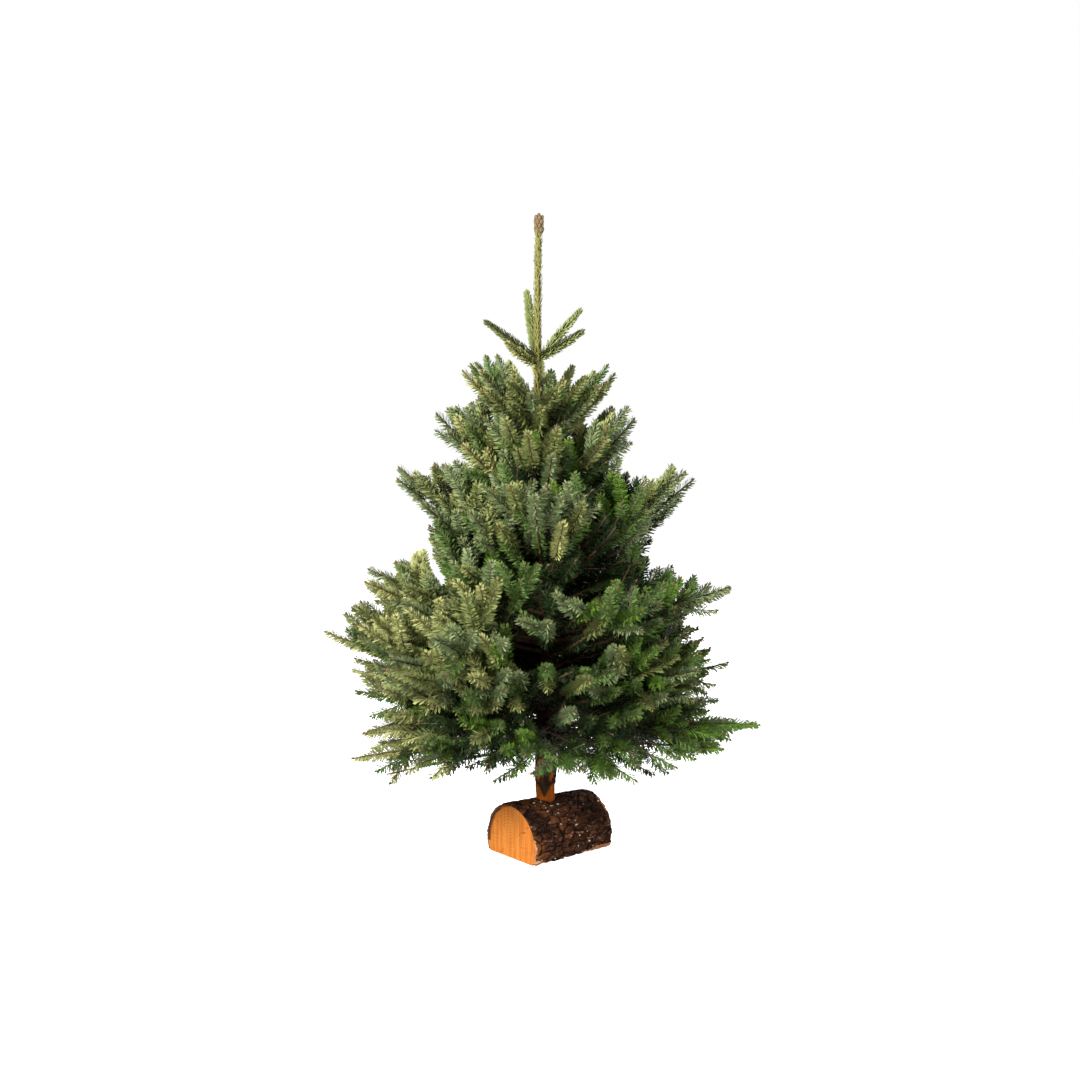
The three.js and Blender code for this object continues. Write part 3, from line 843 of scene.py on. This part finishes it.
def bough_line(name):
    """The bough through a mass: its foot on the trunk, its tip, and the point it bends towards."""
    co = cad_points(name)
    foot_z = whorl_feet[name.split("_")[0]]
    axis = trunk_centre(foot_z)
    far = co[np.linalg.norm(co - axis, axis=1).argmax()]
    share = (co - axis) @ (far - axis) / ((far - axis) @ (far - axis))
    middle = co[(share > 0.35) & (share < 0.65)].mean(0)
    out = np.array([far[0] - axis[0], far[1] - axis[1], 0])
    out /= np.linalg.norm(out)
    foot = axis + out * trunk_radius(foot_z) * FOOT_INSIDE
    middle = axis + out * ((middle - axis) @ out) + np.array([0, 0, middle[2] - axis[2]])
    return Vector(foot), Vector(2 * middle - 0.5 * (foot + far)), Vector(far)


def on_line(line, share):
    """A point of a bough's bent line, at a share of the way from its foot to its tip."""
    foot, bend, tip = line
    return foot * (1 - share) ** 2 + bend * 2 * share * (1 - share) + tip * share**2


def line_length(line, steps=24):
    points = [on_line(line, i / steps) for i in range(steps + 1)]
    return sum((b - a).length for a, b in zip(points, points[1:]))


def beside(line, turn, share, lift):
    """A lesser bough's line: the main one's, turned about the trunk, shortened and shifted."""
    axis = Vector(trunk_centre(line[0].z))
    about = Matrix.Rotation(math.radians(turn), 3, "Z")
    spots = [axis + about @ (p - axis) for p in line]
    spots = [spots[0].lerp(p, share) for p in spots]
    return [p + Vector((0, 0, lift)) for p in spots]


boughs = []
for name in masses:
    whorl = name.split("_")[0]
    foot_radius = FOOT_SHARE * trunk_radius(whorl_feet[whorl])
    line = bough_line(name)
    if whorl == "whorl1":
        line = (line[0], line[0].lerp(line[2], 0.5), line[2])
        grow_bough(name, line, UPTURN[whorl], TOP_WHORL_RADIUS)
        continue
    grow_bough(name, line, UPTURN[whorl], foot_radius)
    for number, (turn, share, lift) in enumerate(LESSER_BOUGHS):
        share *= chance.uniform(0.92, 1.08)
        lesser = beside(line, turn + chance.normal(0, 4), share, lift)
        grow_bough(f"{name}/{number}", lesser, UPTURN[whorl], LESSER_FOOT_SHARE * foot_radius)

levels = sorted(whorl_feet.items(), key=lambda level: level[1])
for (whorl, low), (_, high), number in zip(levels, levels[1:], BOUGHS_BETWEEN):
    start = chance.uniform(0, 360)
    for i in range(number):
        height = low + (high - low) * (i + chance.uniform(0.3, 0.9)) / number
        bearing = math.radians(start + GOLDEN_DEGREES * i)
        out = Vector((math.cos(bearing), math.sin(bearing), 0))
        foot_radius = BETWEEN_FOOT_SHARE * float(trunk_radius(height))
        foot = Vector(trunk_centre(height)) + out * float(trunk_radius(height)) * FOOT_INSIDE
        rise = 0.5 * max(0, UPTURN[whorl]) + chance.uniform(0, 0.3)
        reach = full_reach(height)
        for _ in range(3):  # the reach where its tip comes, which depends on the rise
            reach = full_reach(height + reach * rise)
        reach = reach * chance.uniform(0.85, 1.0) + out.dot(TOWARDS_PAINTED_LIGHT) * CROWN_LEAN
        bend = foot + out * reach * 0.5 + Vector((0, 0, reach * rise * 0.3))
        tip = foot + out * reach + Vector((0, 0, reach * rise))
        grow_bough(f"between_{whorl}/{i}", (foot, bend, tip), max(0.3, UPTURN[whorl]), foot_radius)

# Shoots that hang over the open side of the log are cut, with all that grew on from them.
front = LOOK_FROM.xy.normalized()
cut_ends = set()
kept = []
for shoot in shoots:
    tip = shoot["c"]
    over_log = tip.xy.dot(front) > 0 and abs(tip.xy.dot(front.orthogonal())) < CUT_ASIDE
    if tuple(shoot["a"]) in cut_ends or (tip.z < CUT_BELOW and over_log):
        cut_ends.add(tuple(tip))
        cut_ends.add(tuple(shoot["a"] * 0.25 + shoot["b"] * 0.5 + tip * 0.25))
    else:
        kept.append(shoot)
shoots = kept


def tubes(curves, sides, steps):
    """Closed tapering tubes along bent lines, all in one mesh. A curve is (a, b, c, r0, r1)."""
    a = np.array([c[0] for c in curves])[:, None]
    b = np.array([c[1] for c in curves])[:, None]
    c = np.array([c[2] for c in curves])[:, None]
    share = np.linspace(0, 1, steps + 1)[None, :, None]
    middle = a * (1 - share) ** 2 + 2 * b * share * (1 - share) + c * share**2
    along = 2 * (b - a) * (1 - share) + 2 * (c - b) * share
    along /= np.linalg.norm(along, axis=2, keepdims=True)
    across = np.cross(along, [0.31, 0.22, 0.92])
    across /= np.linalg.norm(across, axis=2, keepdims=True)
    front = np.cross(across, along)
    radius = np.array([[k[3], k[4]] for k in curves])
    radius = radius[:, :1] + (radius[:, 1:] - radius[:, :1]) * share[..., 0]
    turn = np.linspace(0, 2 * math.pi, sides, endpoint=False)
    out = across[:, :, None] * np.cos(turn)[:, None] + front[:, :, None] * np.sin(turn)[:, None]
    points = middle[:, :, None] + out * radius[:, :, None, None]
    count = (steps + 1) * sides
    first = np.arange(len(curves))[:, None, None] * count
    walls = tube_faces(steps + 1, sides)[None] + first
    ring = np.arange(sides)
    caps = np.stack([ring[::-1], count - sides + ring])[None] + first
    return points.reshape(-1, 3), walls.reshape(-1, 4), caps.reshape(-1, sides)


def quick_mesh(name, points, face_sets, material, smooth):
    """A mesh object from arrays; each face set is an array of faces with the same corner count."""
    mesh = bpy.data.meshes.new(name)
    mesh.vertices.add(len(points))
    mesh.vertices.foreach_set("co", np.asarray(points, np.float32).ravel())
    corners = np.concatenate([f.ravel() for f in face_sets]).astype(np.int32)
    sizes = np.concatenate([np.full(len(f), f.shape[1]) for f in face_sets])
    starts = np.concatenate([[0], np.cumsum(sizes)[:-1]]).astype(np.int32)
    mesh.loops.add(len(corners))
    mesh.loops.foreach_set("vertex_index", corners)
    mesh.polygons.add(len(sizes))
    mesh.polygons.foreach_set("loop_start", starts)
    mesh.polygons.foreach_set("use_smooth", np.full(len(sizes), smooth))
    mesh.materials.append(material)
    mesh.update(calc_edges=True)
    mesh.validate()
    piece = bpy.data.objects.new(name, mesh)
    bpy.context.scene.collection.objects.link(piece)
    return piece


def twig_radius(shoot, at_end):
    """Thickness of a side limb: it gains a little every year."""
    years = shoot["age"] - (1 if at_end else 0)
    return TIP_RADIUS + YEARLY_RADIUS * max(0, years) * (1.25 if shoot["order"] < 3 else 0.9)


bough_bark, shader = new_material("bough_bark", (0.09, 0.05, 0.028), 0.85, 0.12)
tone = ramp(bough_bark, noise(bough_bark, 70), [
    (0.35, (0.04, 0.023, 0.013)), (0.6, (0.085, 0.047, 0.022)), (0.8, (0.15, 0.085, 0.038))])
bough_bark.node_tree.links.new(tone, shader.inputs["Base Color"])
bump(bough_bark, shader, noise(bough_bark, 420), 0.5, 0.0006)

BOUGH_FOOT_EXTRA = 0.0014  # what the bark adds to a bough's radius
COLLAR_SWELL = 0.5  # boughs thicken where they leave the stem
COLLAR_REACH = 0.012
bough_points, bough_faces, bough_caps, used = [], [], [], 0
for line, years, foot_radius in boughs:
    foot_radius = foot_radius + BOUGH_FOOT_EXTRA
    steps = 5 * years + 3
    share = np.linspace(0, 1, steps + 1)
    middle = np.array([on_line(line, s) for s in share])
    along = np.gradient(middle, axis=0)
    along /= np.linalg.norm(along, axis=1, keepdims=True)
    across = np.cross(along, [0, 0, 1])
    across /= np.linalg.norm(across, axis=1, keepdims=True)
    front = np.cross(across, along)
    collar = 1 + COLLAR_SWELL * np.exp(-share * line_length(line) / COLLAR_REACH)
    radius = (foot_radius + (BOUGH_END_RADIUS - foot_radius) * share**0.8) * collar
    turn = np.linspace(0, 2 * math.pi, BOUGH_SIDES, endpoint=False)
    uneven = ripple(share[:, None] * 70 * years, turn[None] * 1.2, 10, 0.6, 2.2, used % 97)
    rough = 1 + 0.07 * uneven
    out = across[:, None] * np.cos(turn)[:, None] + front[:, None] * np.sin(turn)[:, None]
    points = middle[:, None] + out * (radius[:, None] * rough)[..., None]
    bough_points.append(points.reshape(-1, 3))
    bough_faces.append(tube_faces(steps + 1, BOUGH_SIDES, used))
    count = (steps + 1) * BOUGH_SIDES
    ring = np.arange(BOUGH_SIDES)
    bough_caps.append(np.stack([used + ring[::-1], used + count - BOUGH_SIDES + ring]))
    used += count
limbs = quick_mesh("bough_limbs", np.concatenate(bough_points),
                   [np.concatenate(bough_faces), np.concatenate(bough_caps)], bough_bark, True)
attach(limbs, "root")
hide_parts(*[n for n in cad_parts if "_bough_" in n])

old_twig = new_material("old_twig_bark", (0.1, 0.058, 0.03), 0.85)[0]
young_twig = new_material("young_twig_bark", (0.075, 0.062, 0.022), 0.75)[0]
for name, material, wanted in (
    ("twigs_old", old_twig, [s for s in shoots if s["order"] > 1 and s["age"] > 1]),
    ("twigs_young", young_twig, [s for s in shoots if s["order"] > 1 and s["age"] == 1]),
):
    curves = [(s["a"], s["b"], s["c"], twig_radius(s, False), twig_radius(s, True)) for s in wanted]
    points, walls, caps = tubes(curves, TWIG_SIDES, 2)
    twigs = quick_mesh(name, points, [walls, caps], material, True)
    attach(twigs, "root")


# ---- Needles --------------------------------------------------------------------------------
# Every needle is flat, about 20 mm long, narrow at its foot and blunt at its tip. Needles point
# forward all round a shoot, fewest below it, and close round the bud at its end. Old ones are
# dark and thin out; the young are coloured spray by spray, by where they stand in the crown:
# paler with painted light on one side, darker with painted shade on the other and near the trunk.
NEEDLE_LENGTH = 0.02
NEEDLE_WIDTH = 0.0031
NEEDLE_LEAN = 56  # degrees off the shoot
TOP_HEIGHTS = [0.85, 1.02]  # from the one to the other, needles become like the top whorls'
TOP_NEEDLE_LENGTH = 0.015
TOP_NEEDLE_LEAN = 44
OLD_NEEDLE_SHARE = 0.92  # of a young needle's length
NEEDLES_A_METRE = {1: 1500, 2: 850, 3: 520}  # by the age of the shoot, in years
LEADING_SHARE = 1.3  # needles are closer on this year's end of a bough
TOP_SHARE = 2.2  # and on the top whorl's shoots
BOUGH_END_THICK = 0.0025  # where a bough's own needles stand, from its middle
GOLDEN_TURN = math.radians(GOLDEN_DEGREES)
TRIANGLES_A_PIECE = 198000


def needle_mesh(name, spots, material, plain=False):
    """All the needles of a piece: narrow foot, shoulder and blunt tip, or a plain slim leaf."""
    base, along, face, length, width = spots
    across = np.cross(along, face)
    across /= np.linalg.norm(across, axis=1, keepdims=True)
    normal = np.cross(across, along)
    half = across * width[:, None] / 2
    tip = base + along * length[:, None]
    shoulder = base + along * (0.7 * length)[:, None] + normal * (0.03 * length)[:, None]
    if plain:
        points = np.stack([base, shoulder + half, tip, shoulder - half], 1)
        faces = np.arange(len(base))[:, None] * 4 + [0, 1, 2, 3]
    else:
        corners = [base - half * 0.5, base + half * 0.5, shoulder - half, shoulder + half, tip]
        points = np.stack(corners, 1)
        first = np.arange(len(base))[:, None] * 5
        faces = np.concatenate([first + [0, 1, 3], first + [0, 3, 2], first + [2, 3, 4]])
    return quick_mesh(name, points.reshape(-1, 3), [faces], material, False)


def needle_spots(group, seed):
    """Where the needles of some shoots stand, and which way each points and faces."""
    draw = np.random.default_rng(seed)
    a, b, c = (np.array([s[k] for s in group]) for k in "abc")
    ups = np.array([s["up"] for s in group])
    spans = np.linalg.norm(c - a, axis=1)
    ages = np.array([s["age"] for s in group])
    last = np.array([s["last"] for s in group])
    thick = np.array([
        twig_radius(s, False) if s["order"] > 1 else BOUGH_END_THICK for s in group])
    per_metre = np.array([NEEDLES_A_METRE[s["age"]] * (
        TOP_SHARE if s["spray"].startswith("whorl1") else
        LEADING_SHARE if s["order"] == 1 and s["age"] == 1 else 1) for s in group])
    counts = (per_metre * spans).astype(int)
    which = np.repeat(np.arange(len(group)), counts)
    step = np.arange(len(which)) - np.repeat(np.cumsum(counts) - counts, counts)
    t = (step + draw.uniform(0.2, 0.8, len(step))) / counts[which]
    first_turn = draw.uniform(0, 6.283, len(group))[which]
    turn = step * GOLDEN_TURN + first_turn + draw.normal(0, 0.2, len(step))
    share = t[:, None]
    point = a[which] * (1 - share) ** 2 + 2 * b[which] * share * (1 - share) + c[which] * share**2
    axis = (b - a)[which] * (1 - share) + (c - b)[which] * share
    axis /= np.linalg.norm(axis, axis=1, keepdims=True)
    side = np.cross(axis, ups[which])
    side /= np.linalg.norm(side, axis=1, keepdims=True)
    above = np.cross(side, axis)
    lift = np.sin(turn)
    lift = np.where(lift < 0, lift * 0.6, lift)
    radial = side * np.cos(turn)[:, None] + above * lift[:, None]
    radial /= np.linalg.norm(radial, axis=1, keepdims=True)
    close = np.where(last[which], np.clip((t - 0.55) / 0.45, 0, 1), 0)
    widest = np.interp(point[:, 2], TOP_HEIGHTS, [NEEDLE_LEAN, TOP_NEEDLE_LEAN])
    lean = widest - 15 * np.maximum(lift, 0) ** 2 - 12 * close**2
    lean = np.radians(lean + draw.normal(0, 6, len(step)))
    along = axis * np.cos(lean)[:, None] + radial * np.sin(lean)[:, None]
    face = radial * 0.6 + above * 0.7 + draw.normal(0, 0.2, along.shape)
    longest = np.interp(point[:, 2], TOP_HEIGHTS, [NEEDLE_LENGTH, TOP_NEEDLE_LENGTH])
    length = longest * (0.78 + 0.22 * np.sin(math.pi * np.clip(t * 1.2, 0, 1)))
    length *= (1 - 0.24 * close**2) * draw.uniform(0.86, 1.08, len(step))
    length *= np.where(ages[which] > 1, OLD_NEEDLE_SHARE, 1.0)
    base = point + radial * thick[which][:, None] * 0.7
    return base, along, face, length, np.full(len(step), NEEDLE_WIDTH)


# The needles' colours. Besides the needles' own greens and the darker old needles, the pale and
# olive kinds carry painted light and the dark, green and vivid kinds carry painted shade.
KINDS = {
    "dark": (0.018, 0.036, 0.009),
    "green": (0.07, 0.12, 0.026),
    "vivid": (0.08, 0.155, 0.017),
    "olive": (0.155, 0.178, 0.054),
    "grey": (0.14, 0.18, 0.075),
    "pale": (0.29, 0.3, 0.108),
}
# Shares of each kind among the sprays of a part of the crown: paler and yellower on one side,
# which is painted light; darker fresh green on the other side and low down, which is painted
# shade; grey and olive towards the top; darkest near the trunk ("deep"), also painted shade.
SHARES = {
    "top": {"grey": 0.2, "olive": 0.5, "green": 0.1, "pale": 0.2},
    "middle": {"grey": 0.4, "olive": 0.3, "green": 0.22, "pale": 0.08},
    "painted_light_side": {"olive": 0.37, "pale": 0.33, "grey": 0.18, "green": 0.12},
    "painted_shade_side": {"green": 0.35, "grey": 0.3, "vivid": 0.2, "olive": 0.15},
    "heart": {"grey": 0.3, "green": 0.5, "olive": 0.08, "vivid": 0.12},
    "deep": {"green": 0.25, "dark": 0.55, "vivid": 0.2},
    "low_painted_light_side": {"pale": 0.48, "olive": 0.32, "green": 0.2},
    "low_painted_shade_side": {"vivid": 0.55, "green": 0.3, "olive": 0.15},
}


TOP_FROM, MIDDLE_FROM, LOW_TO = 0.88, 0.58, 0.33  # the heights that part the crown
PAINTED_SIDE_EDGE = 0.1  # how far towards the painted light, or away from it, the sides with painted light and painted shade begin
STRAYS = 0.3  # the share of shoots that differ from the rest of their spray
PAINTED_SHADE_BELOW = 0.85  # under this height, shoots nearer the trunk than a share of the crown's reach
PAINTED_SHADE_REACH = 0.66  # are dealt dark kinds, painted shade: this share of it,
LOW_PAINTED_SHADE_REACH = 0.84  # and under the lowest whorls this one
LOW_PAINTED_SHADE_HEIGHTS = [0.32, 0.42]


def part_of_crown(point):
    """Which of the crown's parts a point is in."""
    painted_light_side = point.dot(TOWARDS_PAINTED_LIGHT)
    if point.z > TOP_FROM:
        return "top"
    if point.z > MIDDLE_FROM:
        return "middle"
    if point.z < LOW_TO:
        return "low_painted_light_side" if painted_light_side > PAINTED_SIDE_EDGE else "low_painted_shade_side"
    return "painted_light_side" if painted_light_side > PAINTED_SIDE_EDGE else "painted_shade_side" if painted_light_side < -PAINTED_SIDE_EDGE else "heart"


def dealt(part):
    """A kind of needle, dealt out by the shares of a part of the crown."""
    return draw.choice(list(SHARES[part]), p=list(SHARES[part].values()))


groups = {(kind, old): [] for kind in KINDS for old in (False, True)}
draw = np.random.default_rng(77)
spray_ends = {}
for shoot in shoots:
    away = math.hypot(shoot["c"].x, shoot["c"].y)
    if away > spray_ends.get(shoot["spray"], (0, None))[0]:
        spray_ends[shoot["spray"]] = (away, shoot["c"])
spray_mood = {spray: dealt(part_of_crown(end)) for spray, (_, end) in spray_ends.items()}
for shoot in shoots:
    kind = spray_mood[shoot["spray"]]
    tip = shoot["c"]
    # Young shoots near the trunk are dealt the "deep" kinds: painted shade inside the crown.
    reach = np.interp(tip.z, reach_heights[:, 0], reach_heights[:, 1])
    shade = np.interp(tip.z, LOW_PAINTED_SHADE_HEIGHTS, [LOW_PAINTED_SHADE_REACH, PAINTED_SHADE_REACH])
    if shoot["spray"].startswith("whorl1"):
        kind = "olive"
    elif tip.z < PAINTED_SHADE_BELOW and math.hypot(tip.x, tip.y) < shade * reach:
        kind = dealt("deep")
    elif draw.random() < STRAYS:
        kind = dealt(part_of_crown(tip))
    if shoot["age"] > 2:
        kind = "dark"
    elif shoot["age"] == 2:
        kind = "green" if kind in ("pale", "olive", "grey") else "dark"
    if shoot["age"] in NEEDLES_A_METRE:
        groups[kind, shoot["age"] > 1].append(shoot)

NEEDLE_GLOSS = (0.55, 0.2)  # roughness and specular
materials = {kind: new_material(f"needles_{kind}", colour, *NEEDLE_GLOSS)[0]
             for kind, colour in KINDS.items()}
for seed, ((kind, old), group) in enumerate(groups.items()):
    if not group:
        continue
    spots = needle_spots(group, seed)
    batches = math.ceil(len(spots[0]) * (2 if old else 3) / TRIANGLES_A_PIECE)
    edges = np.linspace(0, len(spots[0]), batches + 1).astype(int)
    for number, (low, high) in enumerate(zip(edges, edges[1:]), 1):
        name = f"needles_{kind}_{'old' if old else 'new'}_{number}"
        piece = needle_mesh(name, [s[low:high] for s in spots], materials[kind], old)
        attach(piece, "root")
        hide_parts(*masses)

# The leader's own needles lie close along it, down to a little under the top whorl.
LEADER_NEEDLES = 900
LEADER_NEEDLE_LENGTHS = (0.011, 0.016)
LEADER_NEEDLE_LEAN = 25
LEADER_BELOW = 0.11  # from this far under the top whorl
LEADER_TO = 0.041  # to this far under the tip
leader_colour = new_material("needles_leader", (0.18, 0.17, 0.046), *NEEDLE_GLOSS)[0]
draw = np.random.default_rng(5)
up = np.linspace(leader_foot - LEADER_BELOW, tree_top - LEADER_TO, LEADER_NEEDLES)
turn = np.arange(LEADER_NEEDLES) * GOLDEN_TURN + draw.normal(0, 0.2, LEADER_NEEDLES)
radial = np.stack([np.cos(turn), np.sin(turn), 0 * turn], 1)
lean = np.radians(draw.normal(LEADER_NEEDLE_LEAN, 6, LEADER_NEEDLES))[:, None]
along = np.array([0, 0, 1.0]) * np.cos(lean) + radial * np.sin(lean)
base = trunk_centre(up) + radial * (0.8 * trunk_radius(up))[:, None]
length = draw.uniform(*LEADER_NEEDLE_LENGTHS, LEADER_NEEDLES)
spots = base, along, radial, length, np.full(LEADER_NEEDLES, NEEDLE_WIDTH)
leader = needle_mesh("needles_leader", spots, leader_colour)
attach(leader, "root")
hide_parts("leader_needles")


# ---- Buds -----------------------------------------------------------------------------------
# Next year's growth waits in brown resinous buds: one at the end of every shoot of this year,
# and a tight cluster of larger ones round the leader's tip.
BUD_LENGTH = 0.008
BUD_RADIUS = 0.0028
BUD_PAST_END = 0.002
LEADER_BUDS = 6  # in each tier
LEADER_BUD_LENGTH = 0.0125
LEADER_BUD_RADIUS = 0.0042
LEADER_BUD_TIERS = [(0.0165, 0.3), (0.024, 0.42), (0.032, 0.38), (0.039, 0.45)]  # drop, lean
TIER_TURN = 0.5
TOP_BUD_LENGTH = 0.0143
TOP_BUD_DROP = 0.0145
TOP_BUD_SHARE = 1.15  # how much thicker than the others it is
# Share of the length and of the radius, from the foot up.
BUD_PROFILE = [(0.0, 0.7), (0.45, 1.0)]
LEADER_BUD_PROFILE = [(0.0, 0.55), (0.3, 0.95), (0.6, 0.9), (0.85, 0.55)]


def bud_mesh(name, buds, profile, sides, material):
    """Small pointed buds in one mesh; a bud is (foot, heading, length, radius)."""
    foot, heading, length, radius = (np.array(x, float) for x in zip(*buds))
    across = np.cross(heading, [0.31, 0.92, 0.22])
    across /= np.linalg.norm(across, axis=1, keepdims=True)
    front = np.cross(heading, across)
    turn = np.linspace(0, 2 * math.pi, sides, endpoint=False)
    out = across[:, None] * np.cos(turn)[:, None] + front[:, None] * np.sin(turn)[:, None]
    rings = [
        (foot + heading * (at * length)[:, None])[:, None] + out * (wide * radius)[:, None, None]
        for at, wide in profile]
    tip = (foot + heading * length[:, None])[:, None]
    points = np.concatenate(rings + [tip], 1)
    first = np.arange(len(foot))[:, None, None] * points.shape[1]
    walls = tube_faces(len(profile), sides)[None] + first
    top = (len(profile) - 1) * sides + np.arange(sides)
    ends = np.stack([top, np.roll(top, -1), np.full(sides, points.shape[1] - 1)], 1)[None] + first
    return quick_mesh(name, points.reshape(-1, 3), [walls.reshape(-1, 4), ends.reshape(-1, 3)],
                      material, True)


bud_brown = new_material("bud_scales", (0.085, 0.05, 0.02), 0.6, 0.2)[0]
leader_bud_brown = new_material("leader_bud_scales", (0.1, 0.062, 0.022), 0.5, 0.35)[0]
buds = []
for shoot in shoots:
    if shoot["age"] == 1 and shoot["last"]:
        heading = (shoot["c"] - shoot["b"]).normalized()
        buds.append((shoot["c"] + heading * BUD_PAST_END, heading, BUD_LENGTH, BUD_RADIUS))
shoot_buds = bud_mesh("buds_shoots", buds, BUD_PROFILE, 3, bud_brown)
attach(shoot_buds, "root")

leader_end = Vector(trunk_centre(tree_top))
draw = np.random.default_rng(8)
buds = [(leader_end - Vector((0, 0, TOP_BUD_DROP)), Vector((0, 0, 1)), TOP_BUD_LENGTH,
         TOP_BUD_SHARE * LEADER_BUD_RADIUS)]
for i in range(LEADER_BUDS):
    turn = 2 * math.pi * i / LEADER_BUDS
    for tier, (drop, lean) in enumerate(LEADER_BUD_TIERS):
        out = Vector((math.cos(turn + tier * TIER_TURN), math.sin(turn + tier * TIER_TURN), 0))
        heading = (Vector((0, 0, 1)) + out * lean * draw.uniform(0.8, 1.2)).normalized()
        foot = leader_end - Vector((0, 0, drop)) + out * LEADER_BUD_RADIUS
        buds.append((foot, heading, LEADER_BUD_LENGTH, LEADER_BUD_RADIUS * (1 - 0.08 * tier)))
leader_buds = bud_mesh("buds_leader", buds, LEADER_BUD_PROFILE, 8, leader_bud_brown)
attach(leader_buds, "root")


# ---- Studio ---------------------------------------------------------------------------------
# The tree stands on a plain pale floor, with white all round. A broad soft light comes from high
# on the left with a faint one low under it, a weaker one on the right fills the shade, and one
# behind lights the far side.
CAMERA_TURN = math.radians(-40)
CAMERA_AWAY = 3.0
CAMERA_HEIGHT = 0.948
CAMERA_DIP = math.radians(6.24)
CAMERA_SHIFT_X = -0.0097
CAMERA_LENS = 51.34

FLOOR_SIZE = 14
FLOOR_GLOW = 0.85
WORLD_LIGHT = 0.18
LIGHTS_AIM = Vector((0, 0, 0.55))

floor_material, shader = new_material("studio_floor", (0.9, 0.9, 0.9), 0.9, 0.1)
shader.inputs["Emission Color"].default_value = (1, 1, 1, 1)
shader.inputs["Emission Strength"].default_value = FLOOR_GLOW
corners = [(x * FLOOR_SIZE, y * FLOOR_SIZE, 0) for x, y in ((-1, -1), (1, -1), (1, 1), (-1, 1))]
floor = new_piece("studio_floor", corners, [(0, 1, 2, 3)], floor_material, smooth=False)

backdrop_material, shader = new_material("studio_backdrop", (0, 0, 0), 1.0, 0.0)
shader.inputs["Emission Color"].default_value = (1, 1, 1, 1)
shader.inputs["Emission Strength"].default_value = 1.0
bpy.ops.mesh.primitive_uv_sphere_add(segments=32, ring_count=16, radius=FLOOR_SIZE * 0.95)
backdrop = bpy.context.object
backdrop.name = "studio_backdrop"
backdrop.data.materials.append(backdrop_material)
backdrop.visible_diffuse = backdrop.visible_glossy = backdrop.visible_shadow = False
backdrop.visible_transmission = False
floor.visible_diffuse = False
bpy.context.scene.view_settings.view_transform = "Standard"

world = bpy.data.worlds.new("studio")
bpy.context.scene.world = world
world.use_nodes = True
world.node_tree.nodes["Background"].inputs["Color"].default_value = (1, 1, 1, 1)
world.node_tree.nodes["Background"].inputs["Strength"].default_value = WORLD_LIGHT


def soft_light(name, turn, away, height, size, power):
    """A square soft light, turned about the tree and aimed at the middle of its crown."""
    data = bpy.data.lights.new(name, "AREA")
    data.size, data.energy = size, power
    light = bpy.data.objects.new(name, data)
    light.location = (math.sin(turn) * away, -math.cos(turn) * away, height)
    aim = LIGHTS_AIM - light.location
    light.rotation_euler = aim.to_track_quat("-Z", "Y").to_euler()
    bpy.context.scene.collection.objects.link(light)


soft_light("key_light", CAMERA_TURN - 0.65, 2.7, 2.0, 1.1, 265)
soft_light("low_light", CAMERA_TURN - 0.5, 2.6, 0.35, 0.8, 22)
soft_light("far_light", CAMERA_TURN + 2.6, 2.8, 1.6, 1.6, 130)
soft_light("fill_light", CAMERA_TURN + 0.9, 3.0, 1.4, 1.6, 95)

camera_data = bpy.data.cameras.new("camera")
camera_data.lens, camera_data.sensor_width = CAMERA_LENS, 36
camera_data.shift_x = CAMERA_SHIFT_X
camera_data.clip_end = 100
camera = bpy.data.objects.new("camera", camera_data)
camera.location = (
    math.sin(CAMERA_TURN) * CAMERA_AWAY, -math.cos(CAMERA_TURN) * CAMERA_AWAY, CAMERA_HEIGHT)
camera.rotation_euler = (math.pi / 2 - CAMERA_DIP, 0, CAMERA_TURN)
bpy.context.scene.collection.objects.link(camera)
bpy.context.scene.camera = camera
